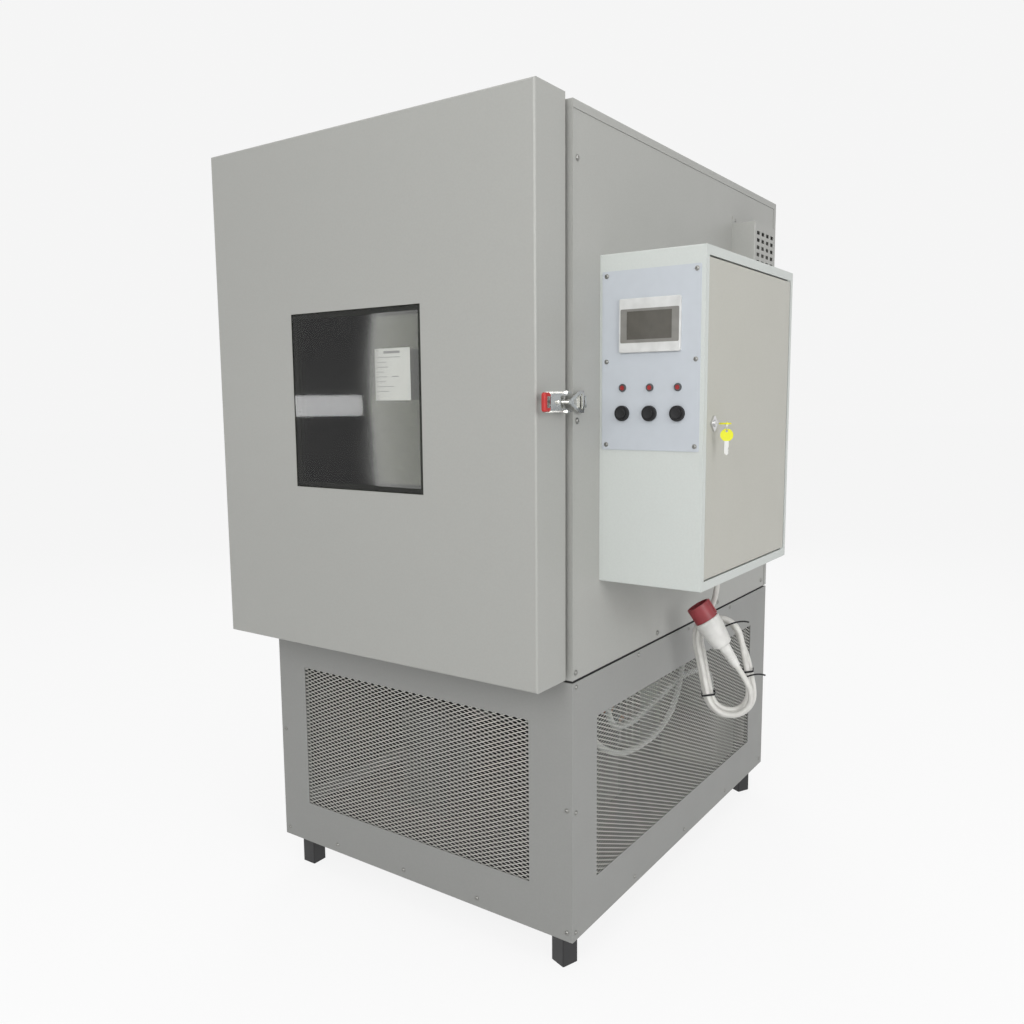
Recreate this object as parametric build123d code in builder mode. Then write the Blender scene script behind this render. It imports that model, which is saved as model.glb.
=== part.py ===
from build123d import *
import math
import os

# Environmental test chamber with a side control cabinet, on a ventilated base.
# X runs to the right seen from the front, the door faces -Y, Z is up from the floor.

# Body
body_w = 865.0
body_d = 1127.0
skirt_bottom = 80.0
split_z = 634.0
split_gap = 5.0
roof_t = 120.0
skin = 1.5
seam = 0.2
corner_r = 2.5
panel_inset = 1.0
rim_h = 17.0
deck_recess = 6.0
front_plate = 2.0

# Base frame and feet
tube = 40.0
tube_z = 85.0
tray_t = 2.0
foot_plate_t = 3.0
foot_plate_w = 112.0
foot_w = 40.0
foot_inset = 49.0
foot_turns = (0.0, -19.5, -27.0, 9.0)
fold_w = 15.0

# Grilles in the base
grille_z0 = 183.0
grille_z1 = 536.0
front_grille_x0 = 106.5
front_grille_left = 91.5
side_grille_y0 = 100.0
side_grille_rear = 122.0
grille_t = 2.0
grille_lap = 14.0
mesh_long = 106.0
mesh_short = 46.0
mesh_strand = 9.0

# Working space
cavity_w = 640.0
machine_depth = 297.0
cavity_z0 = 762.0
cavity_h = 858.0
liner_t = 1.5
rear_wall_t = 98.0
duct_depth = 130.0
baffle_t = 1.5
baffle_gap = 60.0
fan_hole_r = 118.0
fan_r = 110.0
fan_h = 62.0
fan_above_mid = 150.0
shaft_r = 6.0
shaft_clear = 0.4
motor_r = 58.0
motor_l = 118.0
rail_w = 20.0
rail_t = 10.0
rail_front = 120.0
rail_rear = 138.0
shelf_heights = (215.0, 505.0)
shelf_wire = 4.0
shelf_frame = 7.0
shelf_gap = 4.0
shelf_front = 60.0
shelf_rear = 68.0
shelf_wires = 13

# Door
door_short = 9.2
door_z0 = 640.5
door_rise = 7.9
door_t = 101.8
door_gap = 12.0
door_overhang = 32.6
door_skin_t = 2.0
door_edge_r = 4.0
plug_depth = 25.0
plug_clear = 12.0
gasket_w = 20.0
gasket_out = 34.0
gasket_clear = 0.3

# Window
window_w = 368.0
window_h = 376.0
window_x = 434.0
window_z = 1191.5
pane_t = 5.0
pane_count = 5
window_clear = 0.3
window_wall = 1.5
spacer_w = 9.0

# Door hinges
hinge_zs = (830.0, 1560.0)
hinge_len = 110.0
hinge_r = 8.0
hinge_pin_r = 4.0
hinge_leaf = 4.0
hinge_y = 8.0
hinge_clear = 0.4

# Latch
latch_z = 1186.5
latch_plate_t = 2.5
latch_pivot_x = 12.5
latch_pivot_y = -45.0
bail_x = 6.0
bail_pivot_y = -62.0
bail_t = 4.0
bail_end_y = 29.0
lip_clear = 0.8
grip_front = 8.2

# Control cabinet
cab_h = 650.0
cab_w = 500.0
cab_d = 220.0
cab_y = 107.0
cab_z = 822.0
cab_skin = 1.5
rim_side = 15.0
rim_rear = 12.5
rim_top = 18.0
lip_d = 18.5
cab_door_t = 14.0
cab_door_inset = 0.5
cab_gap = 2.0
cab_gap_top = 3.0
cab_gap_rear = 3.5
cab_axis_in = 7.0
cab_pin_r = 2.5

# Operator plate
plate_w = 207.0
plate_h = 347.0
plate_x = 108.3
plate_z = 1264.6
plate_t = 1.5
touch_w = 129.0
touch_h = 103.0
touch_x = 109.0
touch_z = 1331.5
touch_t = 6.0
screen_w = 95.0
screen_h = 54.0
screen_t = 1.2
control_xs = (50.8, 109.6, 168.0)
lamp_z = 1212.7
lamp_r = 6.0
button_z = 1163.1
collar_r = 15.0
collar_t = 6.0
button_r = 11.5
button_clear = 0.35
button_out = 3.0
button_deep = 24.0
button_travel = 3.0

# Lock and keys
lock_y = 154.0
lock_z = 1143.5
escutcheon_w = 29.0
escutcheon_t = 4.0
barrel_r = 9.0
rotor_r = 6.5
rotor_clear = 0.3
rotor_out = 3.0
cam_l = 42.0
cam_w = 14.0
cam_t = 3.0
bow_r = 11.0
bow_t = 3.0
bow_hole_r = 3.0
ring_r = 8.0
ring_wire_r = 0.8
spare_turn = -21.2
spare_bow_r = 12.0
spare_t = 2.0

# Ventilated cover on the right side
vent_y = 797.0
vent_l = 150.0
vent_d = 60.0
vent_top = 1636.0
vent_h = 150.0
vent_flange = 18.0
slot_l = 20.0
slot_h = 9.0
slot_pitch_y = 33.7
slot_pitch_z = 18.0

# Supply cord, hank and plug
cord_d = 13.0
gland_x = 110.0
gland_y = 470.0
gland_l = 22.0
hank_turn = 20.0
hank_tilt = 11.3
hank_s = 19.0
hank_z = 570.0
hank_l = 262.0
hank_w = 126.0
hank_band = 30.0
hank_thick = 26.0
plug_r = 29.0
plug_collar_r = 27.0
plug_clear_hank = 0.3

# Derived positions
reach_right = cab_d + 41.9
total_w = reach_right + body_w + door_overhang
cavity_depth = body_d - machine_depth
top_z = cavity_z0 + cavity_h + roof_t
front_grille_x1 = body_w - front_grille_left
side_grille_y1 = body_d - side_grille_rear
door_w = body_w + door_overhang - door_short
door_h = top_z + door_rise - door_z0
front_reach = door_gap + door_t + grip_front
total_d = front_reach + body_d
side_x = total_w / 2 - reach_right
left_x = side_x - body_w
front_y = -total_d / 2 + front_reach
rear_y = front_y + body_d
base_top = split_z - split_gap / 2
upper_z0 = split_z + split_gap / 2
lid_z = top_z - rim_h
mid_x = (side_x + left_x) / 2
cav_x0 = mid_x - cavity_w / 2
cav_x1 = mid_x + cavity_w / 2
cav_y0 = front_y + front_plate
cav_y1 = front_y + cavity_depth
cav_z1 = cavity_z0 + cavity_h
wall_y0 = cav_y1 + liner_t + seam
wall_y1 = wall_y0 + rear_wall_t
fan_z = cavity_z0 + cavity_h / 2 + fan_above_mid
door_x0 = left_x - door_overhang
door_x1 = door_x0 + door_w
door_y1 = front_y - door_gap
door_y0 = door_y1 - door_t
door_z1 = door_z0 + door_h
win_x = door_x0 + window_x
panel_face = side_x - panel_inset
cab_x0 = panel_face
cab_x1 = side_x + cab_d
cab_y0 = front_y + cab_y
cab_y1 = cab_y0 + cab_w
cab_z1 = cab_z + cab_h

os.makedirs("parts", exist_ok=True)


def block(x0, x1, y0, y1, z0, z1, mode=Mode.ADD):
    """Box between the given limits, added to or cut from the part being built."""
    with BuildSketch(Plane.XY.offset(z0)) as outline:
        with Locations(((x0 + x1) / 2, (y0 + y1) / 2)):
            Rectangle(x1 - x0, y1 - y0)
    extrude(outline.sketch, amount=z1 - z0, mode=mode)


def rod_z(x, y, z0, z1, r, mode=Mode.ADD):
    """Upright cylinder."""
    with BuildSketch(Plane.XY.offset(z0)) as outline:
        with Locations((x, y)):
            Circle(r)
    extrude(outline.sketch, amount=z1 - z0, mode=mode)


def rod_y(x, z, y0, y1, r, mode=Mode.ADD):
    """Cylinder along Y."""
    with BuildSketch(Plane.XZ.offset(-y0)) as outline:
        with Locations((x, z)):
            Circle(r)
    extrude(outline.sketch, amount=-(y1 - y0), mode=mode)


def rod_x(y, z, x0, x1, r, mode=Mode.ADD):
    """Cylinder along X."""
    with BuildSketch(Plane.YZ.offset(x0)) as outline:
        with Locations((y, z)):
            Circle(r)
    extrude(outline.sketch, amount=x1 - x0, mode=mode)


def save(part, name):
    """Label a finished piece and write it under its own name."""
    part.label = name
    export_step(part, f"parts/{name}.step")


def cord_radii(points):
    """Radius at each inner point: 0.45 of the shorter run over the tangent of half the turn."""
    radii = []
    for a, b, c in zip(points, points[1:], points[2:]):
        u = Vector(*b) - Vector(*a)
        v = Vector(*c) - Vector(*b)
        half = math.radians(u.get_angle(v)) / 2
        radii.append(0.45 * min(u.length, v.length) / math.tan(half))
    return radii


def tube_along(points, r):
    """Round tube along straight runs joined by tangent arcs; returns the radii and the length."""
    radii = cord_radii(points)
    with BuildLine() as route:
        FilletPolyline(*points, radius=radii)
    path = route.wires()[0]
    with BuildSketch(Plane(origin=path @ 0, z_dir=path % 0)) as section:
        Circle(r)
    sweep(section.sketch, path=path)
    return [round(v) for v in radii], round(path.length, 1)


# Base frame: welded square tube with a tray, one foot plate under each corner
frame_x0 = left_x + skin + seam
frame_x1 = side_x - skin - seam
frame_y0 = front_y + skin + seam
frame_y1 = rear_y - skin - seam
ring_top = tube_z + tube
tray_z = ring_top + tray_t
post_top = base_top - tube
with BuildPart() as base_frame:
    for z0 in (tube_z, post_top):
        for x0 in (frame_x0, frame_x1 - tube):
            block(x0, x0 + tube, frame_y0, frame_y1, z0, z0 + tube)
        for y0 in (frame_y0, frame_y1 - tube):
            block(frame_x0 + tube + seam, frame_x1 - tube - seam, y0, y0 + tube, z0, z0 + tube)
    for x0 in (frame_x0, frame_x1 - tube):
        for y0 in (frame_y0, frame_y1 - tube):
            block(x0, x0 + tube, y0, y0 + tube, ring_top + seam, post_top - seam)
    for x0 in (frame_x0, frame_x1 - foot_plate_w):
        for y0 in (frame_y0, frame_y1 - foot_plate_w):
            block(
                x0, x0 + foot_plate_w, y0, y0 + foot_plate_w,
                tube_z - foot_plate_t, tube_z - seam,
            )
    block(
        frame_x0 + tube + seam, frame_x1 - tube - seam,
        frame_y0 + tube + seam, frame_y1 - tube - seam,
        ring_top, tray_z,
    )
    for share in (0.3, 0.62):
        y0 = frame_y0 + share * (frame_y1 - frame_y0)
        block(frame_x0 + tube + seam, frame_x1 - tube - seam, y0, y0 + tube, tube_z, ring_top - seam)
save(base_frame.part, "base_frame")

# Feet: square blocks, each bolted by one central stud and so free to stand at its own angle
foot_z = tube_z - foot_plate_t
foot_places = (
    (left_x + foot_inset, front_y + foot_inset),
    (side_x - foot_inset, front_y + foot_inset),
    (side_x - foot_inset, rear_y - foot_inset),
    (left_x + foot_inset, rear_y - foot_inset),
)
with BuildPart() as feet:
    for place, turn in zip(foot_places, foot_turns):
        with BuildSketch():
            with Locations(place):
                RectangleRounded(foot_w, foot_w, 3, rotation=turn)
        extrude(amount=foot_z)
save(feet.part, "feet")

# Skirt panels round the base, folded inwards at the bottom, with the grille openings
skirt_h = base_top - skirt_bottom
with BuildPart() as skirt_panels:
    block(left_x, side_x, front_y, front_y + skin, skirt_bottom, base_top)
    block(
        left_x + skin + seam, side_x - skin - seam,
        front_y + skin, front_y + fold_w, skirt_bottom, skirt_bottom + skin,
    )
    fillet(
        skirt_panels.edges().filter_by(Axis.Z).group_by(Axis.Y)[0].filter_by(
            lambda e: e.length > skirt_h / 2
        ),
        skin * 0.8,
    )
    block(
        side_x - front_grille_x1, side_x - front_grille_x0,
        front_y, front_y + skin, grille_z0, grille_z1, mode=Mode.SUBTRACT,
    )
    side_y0 = front_y + skin + seam
    side_y1 = rear_y - skin - seam
    for x0, x1, fold in (
        (side_x - skin, side_x, (side_x - fold_w, side_x - skin)),
        (left_x, left_x + skin, (left_x + skin, left_x + fold_w)),
    ):
        block(x0, x1, side_y0, side_y1, skirt_bottom, base_top)
        fold_y0 = front_y + fold_w + seam
        block(fold[0], fold[1], fold_y0, side_y1, skirt_bottom, skirt_bottom + skin)
        block(
            x0, x1, front_y + side_grille_y0, front_y + side_grille_y1,
            grille_z0, grille_z1, mode=Mode.SUBTRACT,
        )
save(skirt_panels.part, "skirt_panels")


def mesh_cells(length, height):
    """Centres of the staggered diamond openings that fit a field of the given size."""
    cols = int(length // mesh_long)
    rows = int(height // (mesh_short / 2)) - 1
    cells = []
    for j in range(rows):
        count = cols if j % 2 == 0 else cols - 1
        z = (j - (rows - 1) / 2) * mesh_short / 2
        for i in range(count):
            cells.append(((i - (count - 1) / 2) * mesh_long, z))
    return cells


def expanded_sheet(plane, length, height):
    """Expanded-metal sheet standing on a plane: a flat field with diamond openings."""
    with BuildSketch(plane) as field:
        Rectangle(length + 2 * grille_lap, height + 2 * grille_lap)
        half_l = (mesh_long - mesh_strand * 2.1) / 2
        half_s = (mesh_short - mesh_strand) / 2
        with Locations(*mesh_cells(length, height)):
            Polygon(
                (-half_l, 0), (0, -half_s), (half_l, 0), (0, half_s),
                align=(Align.CENTER, Align.CENTER), mode=Mode.SUBTRACT,
            )
    extrude(field.sketch, amount=grille_t)


# Expanded-metal grilles behind the front and side openings
grille_mid = (grille_z0 + grille_z1) / 2
side_grille_mid = front_y + (side_grille_y0 + side_grille_y1) / 2
with BuildPart() as base_grilles:
    expanded_sheet(
        Plane(
            origin=(side_x - (front_grille_x0 + front_grille_x1) / 2, front_y + skin, grille_mid),
            x_dir=(1, 0, 0), z_dir=(0, 1, 0),
        ),
        front_grille_x1 - front_grille_x0, grille_z1 - grille_z0,
    )
    expanded_sheet(
        Plane(
            origin=(side_x - skin, side_grille_mid, grille_mid), x_dir=(0, 1, 0), z_dir=(-1, 0, 0),
        ),
        side_grille_y1 - side_grille_y0, grille_z1 - grille_z0,
    )
    expanded_sheet(
        Plane(
            origin=(left_x + skin, side_grille_mid, grille_mid), x_dir=(0, 1, 0), z_dir=(1, 0, 0),
        ),
        side_grille_y1 - side_grille_y0, grille_z1 - grille_z0,
    )
save(base_grilles.part, "base_grilles")

# Deck between the base and the upper body, set back to leave the dark shadow gap
with BuildPart() as deck:
    block(
        left_x + deck_recess, side_x - deck_recess,
        front_y + deck_recess, rear_y - deck_recess, base_top, upper_z0,
    )
save(deck.part, "deck")

# Hermetic compressor on its foot plate, with the terminal box
comp_x = side_x - 620
comp_y = front_y + 330
comp_r = 95.0
comp_h = 265.0
with BuildPart() as compressor:
    block(comp_x - 115, comp_x + 115, comp_y - 100, comp_y + 100, tray_z, tray_z + 14)
    rod_z(comp_x, comp_y, tray_z + 14, tray_z + 14 + comp_h, comp_r)
    fillet(compressor.edges().group_by(Axis.Z)[-1], comp_r * 0.6)
    block(comp_x + 80, comp_x + 128, comp_y - 34, comp_y + 34, tray_z + 95, tray_z + 185)
save(compressor.part, "compressor")

# Condenser: finned block with a shroud behind it and the fan motor on three arms
cond_x0 = side_x - 720
cond_x1 = side_x - 300
cond_rear = 227.0
cond_y0 = rear_y - cond_rear
cond_t = 66.0
cond_z1 = tray_z + 400
cond_mx = (cond_x0 + cond_x1) / 2
cond_mz = (tray_z + cond_z1) / 2
cond_fan_r = 150.0
shroud_d = 70.0
shroud_y0 = cond_y0 + cond_t
shroud_y1 = shroud_y0 + shroud_d
with BuildPart() as condenser:
    block(cond_x0, cond_x1, cond_y0, shroud_y0, tray_z, cond_z1)
    fin_pitch = 21.0
    fins = int((cond_x1 - cond_x0 - 16) // fin_pitch)
    with BuildSketch(Plane.XZ.offset(-cond_y0)):
        with Locations((cond_mx, cond_mz)):
            with GridLocations(fin_pitch, 1, fins, 1):
                Rectangle(fin_pitch * 0.55, cond_z1 - tray_z - 24)
    extrude(amount=-9, mode=Mode.SUBTRACT)
    block(cond_x0, cond_x1, shroud_y0, shroud_y1, tray_z, cond_z1)
    rod_y(cond_mx, cond_mz, shroud_y0 + 1.5, shroud_y1, cond_fan_r + 12, mode=Mode.SUBTRACT)
    for turn in (90, 210, 330):
        with BuildSketch(Plane.XZ.offset(-(shroud_y1 + seam))):
            with Locations((cond_mx, cond_mz)):
                with PolarLocations(0, 1, start_angle=turn):
                    with Locations((cond_fan_r / 2 + 16, 0)):
                        Rectangle(cond_fan_r + 20, 12)
        extrude(amount=-4)
    rod_y(cond_mx, cond_mz, shroud_y1 + seam, shroud_y1 + 50, 38)
    rod_y(cond_mx, cond_mz, shroud_y1 + seam, shroud_y1 + 30, shaft_r + shaft_clear, mode=Mode.SUBTRACT)
    block(
        cond_mx - 6, cond_mx + 6, shroud_y1 - 1, shroud_y1 + seam,
        cond_mz + cond_fan_r + 13, cond_mz + cond_fan_r + 25,
    )
save(condenser.part, "condenser")


def axial_blades(x, z, y, hub_r, tip_r, count, chord, pitch_deg):
    """Pitched blades round a hub turning about Y, each lofted from a narrow root to a wide tip."""
    for i in range(count):
        angle = math.radians(360 / count * i)
        out = Vector(math.cos(angle), 0, math.sin(angle))
        along = Vector(-math.sin(angle), 0, math.cos(angle))
        sections = []
        for reach, width, pitch in ((hub_r * 0.8, chord * 0.8, pitch_deg + 12), (tip_r, chord, pitch_deg)):
            lean = math.radians(pitch)
            chord_dir = along * math.cos(lean) + Vector(0, 1, 0) * math.sin(lean)
            centre = Vector(x, y, z) + out * reach
            with BuildSketch(Plane(origin=centre, x_dir=chord_dir, z_dir=out)) as section:
                Rectangle(width, 2)
            sections.append(section.sketch)
        loft(sections)


# Condenser fan: pitched blades on a hub, turning about Y in the shroud
cond_fan_y = shroud_y0 + 34
with BuildPart() as condenser_fan:
    rod_y(cond_mx, cond_mz, cond_fan_y - 18, cond_fan_y + 22, 36)
    axial_blades(cond_mx, cond_mz, cond_fan_y, 36, cond_fan_r - 9, 5, 78, 26)
    rod_y(cond_mx, cond_mz, cond_fan_y + 22, shroud_y1 + 29, shaft_r)
save(condenser_fan.part, "condenser_fan")

# Receiver with the lines from the compressor to the condenser
recv_x = side_x - 250
recv_y = front_y + 560
recv_r = 52.0
line_r = 7.0
with BuildPart() as refrigerant_lines:
    block(recv_x - 45, recv_x + 45, recv_y - 45, recv_y + 45, tray_z, tray_z + 12)
    with BuildSketch(Plane(origin=(recv_x, recv_y, tray_z + 12), x_dir=(1, 0, 0), z_dir=(0, -1, 0))):
        with BuildLine():
            Line((0, 0), (recv_r, 0))
            Line((recv_r, 0), (recv_r, 200))
            ThreePointArc((recv_r, 200), (recv_r * 0.72, 226), (0, 238))
            Line((0, 238), (0, 0))
        make_face()
    revolve(axis=Axis((recv_x, recv_y, 0), (0, 0, 1)))
    line_z = tray_z + 330
    for points in (
        (
            (comp_x + 30, comp_y, tray_z + comp_h + 6),
            (comp_x + 30, comp_y, line_z),
            (comp_x + 30, cond_y0 - 60, line_z),
            (comp_x + 30, cond_y0 - 60, line_z - 90),
            (comp_x + 30, cond_y0 + 12, line_z - 90),
        ),
        (
            (cond_x1 - 60, cond_y0 + 12, tray_z + 90),
            (cond_x1 - 60, cond_y0 - 70, tray_z + 90),
            (cond_x1 - 60, cond_y0 - 70, tray_z + 290),
            (cond_x1 - 60, recv_y, tray_z + 290),
            (recv_x, recv_y, tray_z + 290),
            (recv_x, recv_y, tray_z + 244),
        ),
    ):
        with BuildLine() as route:
            FilletPolyline(*points, radius=22)
        with BuildSketch(Plane(origin=route.line @ 0, z_dir=route.line % 0)):
            Circle(line_r)
        sweep(path=route.line)
save(refrigerant_lines.part, "refrigerant_lines")

# Condensate tank with its cap and two fittings
tank_x0 = side_x - 235
tank_x1 = side_x - 62
tank_d = 160.0
tank_rear = 62.0
tank_y1 = rear_y - tank_rear
tank_y0 = tank_y1 - tank_d
tank_h = 165.0
with BuildPart() as drain_tank:
    block(tank_x0, tank_x1, tank_y0, tank_y1, tray_z, tray_z + tank_h)
    fillet(drain_tank.edges().filter_by(Axis.Z), 18)
    rod_z(tank_x0 + 60, tank_y0 + 80, tray_z + tank_h, tray_z + tank_h + 18, 30)
    rod_z(tank_x1 - 30, tank_y0 + 40, tray_z + tank_h, tray_z + tank_h + 14, 9)
save(drain_tank.part, "drain_tank")

# Clear drain hoses: one long loop from the deck past the front post, one to the tank
hose_r = 7.0
hose_x = side_x - 66
hose_top = base_top - seam
with BuildPart() as drain_hoses:
    tube_along(
        (
            (hose_x, front_y + 684, hose_top),
            (hose_x, front_y + 684, 560),
            (hose_x, front_y + 672, 450),
            (hose_x, front_y + 600, 365),
            (hose_x, front_y + 470, 342),
            (hose_x, front_y + 330, 356),
            (hose_x, front_y + 205, 424),
            (hose_x, front_y + 150, 520),
            (hose_x, front_y + 150, hose_top),
        ),
        hose_r,
    )
    tube_along(
        (
            (hose_x - 26, front_y + 470, hose_top),
            (hose_x - 26, front_y + 470, 590),
            (hose_x - 26, front_y + 375, 545),
            (hose_x - 26, front_y + 305, 480),
            (hose_x - 26, front_y + 345, 410),
            (hose_x - 26, front_y + 450, 398),
            (hose_x - 26, front_y + 580, 420),
            (hose_x - 26, front_y + 720, 440),
            (hose_x - 26, front_y + 850, 430),
            (tank_x1 - 30, tank_y0 + 40, 390),
            (tank_x1 - 30, tank_y0 + 40, tray_z + tank_h + 14),
        ),
        hose_r,
    )
save(drain_hoses.part, "drain_hoses")

# Side panels of the upper body, set in a little behind the lid and the rear panel
side_rear = rear_y - rim_h - 0.5
with BuildPart() as side_panels:
    for x0 in (panel_face - skin, left_x + panel_inset):
        block(x0, x0 + skin, front_y + front_plate + seam, side_rear, upper_z0, lid_z - 0.5)
save(side_panels.part, "side_panels")

# Top lid with a folded rim all round
with BuildPart() as top_lid:
    block(left_x, side_x, front_y, rear_y, lid_z, top_z)
    fillet(top_lid.edges().group_by(Axis.Z)[-1], corner_r)
    block(
        left_x + skin, side_x - skin, front_y + skin, rear_y - skin,
        lid_z, top_z - skin - 1, mode=Mode.SUBTRACT,
    )
save(top_lid.part, "top_lid")

# Rear panels: the upper one wraps round both sides, both have rows of louvre slots
with BuildPart() as rear_panels:
    block(left_x, side_x, rear_y - rim_h, rear_y, upper_z0, lid_z - seam)
    block(
        left_x + skin, side_x - skin, rear_y - rim_h, rear_y - skin,
        upper_z0, lid_z - seam, mode=Mode.SUBTRACT,
    )
    block(left_x, side_x, rear_y - skin, rear_y, skirt_bottom, base_top)
    for z_mid, rows in ((cond_mz, 9), (fan_z, 4)):
        with BuildSketch(Plane.XZ.offset(-rear_y)):
            with Locations((cond_mx if rows == 9 else mid_x, z_mid)):
                with GridLocations(150, 34, 2, rows):
                    Rectangle(130, 12)
        extrude(amount=skin * 2, both=True, mode=Mode.SUBTRACT)
save(rear_panels.part, "rear_panels")

# Front frame around the mouth of the working space
with BuildPart() as front_frame:
    block(left_x, side_x, front_y, front_y + front_plate, upper_z0, lid_z - seam)
    block(
        cav_x0, cav_x1, front_y, front_y + front_plate, cavity_z0, cav_z1, mode=Mode.SUBTRACT,
    )
save(front_frame.part, "front_frame")

# Insulation slabs behind the liner; the rear slab has the sleeve for the fan shaft
ins_x0 = left_x + panel_inset + skin + seam
ins_x1 = panel_face - skin - seam
ins_y0 = front_y + front_plate + seam
box_x0 = cav_x0 - liner_t - seam
box_x1 = cav_x1 + liner_t + seam
box_z0 = cavity_z0 - liner_t - seam
box_z1 = cav_z1 + liner_t + seam
with BuildPart() as insulation:
    block(ins_x0, ins_x1, ins_y0, wall_y1, upper_z0, box_z0)
    block(ins_x0, ins_x1, ins_y0, wall_y1, box_z1, top_z - skin - 1 - seam)
    block(ins_x0, box_x0, ins_y0, wall_y1, box_z0 + seam, box_z1 - seam)
    block(box_x1, ins_x1, ins_y0, wall_y1, box_z0 + seam, box_z1 - seam)
    block(box_x0 + seam, box_x1 - seam, wall_y0, wall_y1, box_z0 + seam, box_z1 - seam)
    rod_y(mid_x, fan_z, wall_y0, wall_y1, shaft_r * 2, mode=Mode.SUBTRACT)
save(insulation.part, "insulation")

# Stainless liner with four shelf uprights and the brackets that carry the shelves
baf_y0 = cav_y1 - duct_depth
rail_ys = (cav_y0 + rail_front, baf_y0 - rail_rear)
with BuildPart() as liner:
    block(cav_x0 - liner_t, cav_x1 + liner_t, ins_y0, cav_y1 + liner_t,
          cavity_z0 - liner_t, cav_z1 + liner_t)
    block(cav_x0, cav_x1, ins_y0, cav_y1, cavity_z0, cav_z1, mode=Mode.SUBTRACT)
    rod_y(mid_x, fan_z, cav_y1, cav_y1 + liner_t, shaft_r * 2, mode=Mode.SUBTRACT)
    for y in rail_ys:
        for x0, x1 in ((cav_x0, cav_x0 + rail_t), (cav_x1 - rail_t, cav_x1)):
            block(x0, x1, y - rail_w / 2, y + rail_w / 2, cavity_z0 + 40, cav_z1 - 40)
    for height in shelf_heights:
        z = cavity_z0 + height
        for y in rail_ys:
            block(cav_x0 + rail_t, cav_x0 + rail_t + 16, y - 8, y + 8, z - 5, z)
            block(cav_x1 - rail_t - 16, cav_x1 - rail_t, y - 8, y + 8, z - 5, z)
save(liner.part, "liner")

# Two wire shelves resting on the brackets
shelf_x0 = cav_x0 + rail_t + shelf_gap
shelf_x1 = cav_x1 - rail_t - shelf_gap
shelf_y0 = cav_y0 + shelf_front
shelf_y1 = baf_y0 - shelf_rear
with BuildPart() as shelves:
    for height in shelf_heights:
        z = cavity_z0 + height
        block(shelf_x0, shelf_x1, shelf_y0, shelf_y1, z, z + shelf_frame)
        block(
            shelf_x0 + shelf_frame, shelf_x1 - shelf_frame,
            shelf_y0 + shelf_frame, shelf_y1 - shelf_frame, z, z + shelf_frame, mode=Mode.SUBTRACT,
        )
        pitch = (shelf_x1 - shelf_x0 - 2 * shelf_frame) / (shelf_wires + 1)
        with BuildSketch(Plane.XY.offset(z + shelf_frame - shelf_wire)):
            with Locations(((shelf_x0 + shelf_x1) / 2, (shelf_y0 + shelf_y1) / 2)):
                with GridLocations(pitch, 1, shelf_wires, 1):
                    Rectangle(shelf_wire, shelf_y1 - shelf_y0 - shelf_frame)
        extrude(amount=shelf_wire)
save(shelves.part, "shelves")

# Air baffle in front of the fan: a folded sheet with a round inlet, outlet slots and the sensor
baf_x0 = cav_x0 + 3
baf_x1 = cav_x1 - 3
baf_z0 = cavity_z0 + baffle_gap
baf_z1 = cav_z1 - baffle_gap
with BuildPart() as air_baffle:
    block(baf_x0, baf_x1, baf_y0, cav_y1 - seam, baf_z0, baf_z1)
    block(
        baf_x0 + baffle_t, baf_x1 - baffle_t, baf_y0 + baffle_t, cav_y1 - seam,
        baf_z0, baf_z1, mode=Mode.SUBTRACT,
    )
    rod_y(mid_x, fan_z, baf_y0 - 1, baf_y0 + baffle_t + 1, fan_hole_r, mode=Mode.SUBTRACT)
    with BuildSketch(Plane.XZ.offset(-baf_y0)):
        with Locations((mid_x, fan_z)):
            for ring in (0.28, 0.52, 0.76):
                Circle(fan_hole_r * ring + 2)
                Circle(fan_hole_r * ring - 2, mode=Mode.SUBTRACT)
            with PolarLocations(0, 4, start_angle=45):
                with Locations((fan_hole_r / 2, 0)):
                    Rectangle(fan_hole_r, 5)
    extrude(amount=-baffle_t)
    with BuildSketch(Plane.XZ.offset(-baf_y0)):
        with Locations((mid_x, baf_z0 + 60)):
            with GridLocations(92, 30, 6, 3):
                Rectangle(70, 10)
    extrude(amount=-baffle_t, mode=Mode.SUBTRACT)
    rod_y(mid_x + 220, fan_z - 180, baf_y0 - 70, baf_y0 + baffle_t, 4)
save(air_baffle.part, "air_baffle")

# Evaporator in the duct: finned block, end plates and the return bends of its tubes
evap_x0 = cav_x0 + 62
evap_x1 = cav_x1 - 62
evap_y0 = baf_y0 + 16
evap_y1 = cav_y1 - seam
evap_z0 = baf_z0 + 110
evap_h = 170.0
bend_pitch = 28.0
tube_r = 5.0
with BuildPart() as evaporator:
    block(evap_x0, evap_x1, evap_y0 + 6, evap_y1 - 6, evap_z0 + 4, evap_z0 + evap_h - 4)
    for x0 in (evap_x0 - 2, evap_x1):
        block(x0, x0 + 2, evap_y0, evap_y1, evap_z0, evap_z0 + evap_h)
    for row in range(3):
        for side, x in ((1, evap_x1 + 2), (-1, evap_x0 - 2)):
            y_mid = (evap_y0 + evap_y1) / 2
            z_mid = evap_z0 + 30 + row * 2 * bend_pitch
            bend_z = z_mid - bend_pitch / 2
            with BuildSketch(Plane(origin=(x, y_mid, bend_z), x_dir=(0, 1, 0), z_dir=(1, 0, 0))):
                Circle(tube_r)
            revolve(
                axis=Axis((x, y_mid, z_mid), (0, 1, 0)),
                revolution_arc=-180 * side,
            )
save(evaporator.part, "evaporator")

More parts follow.
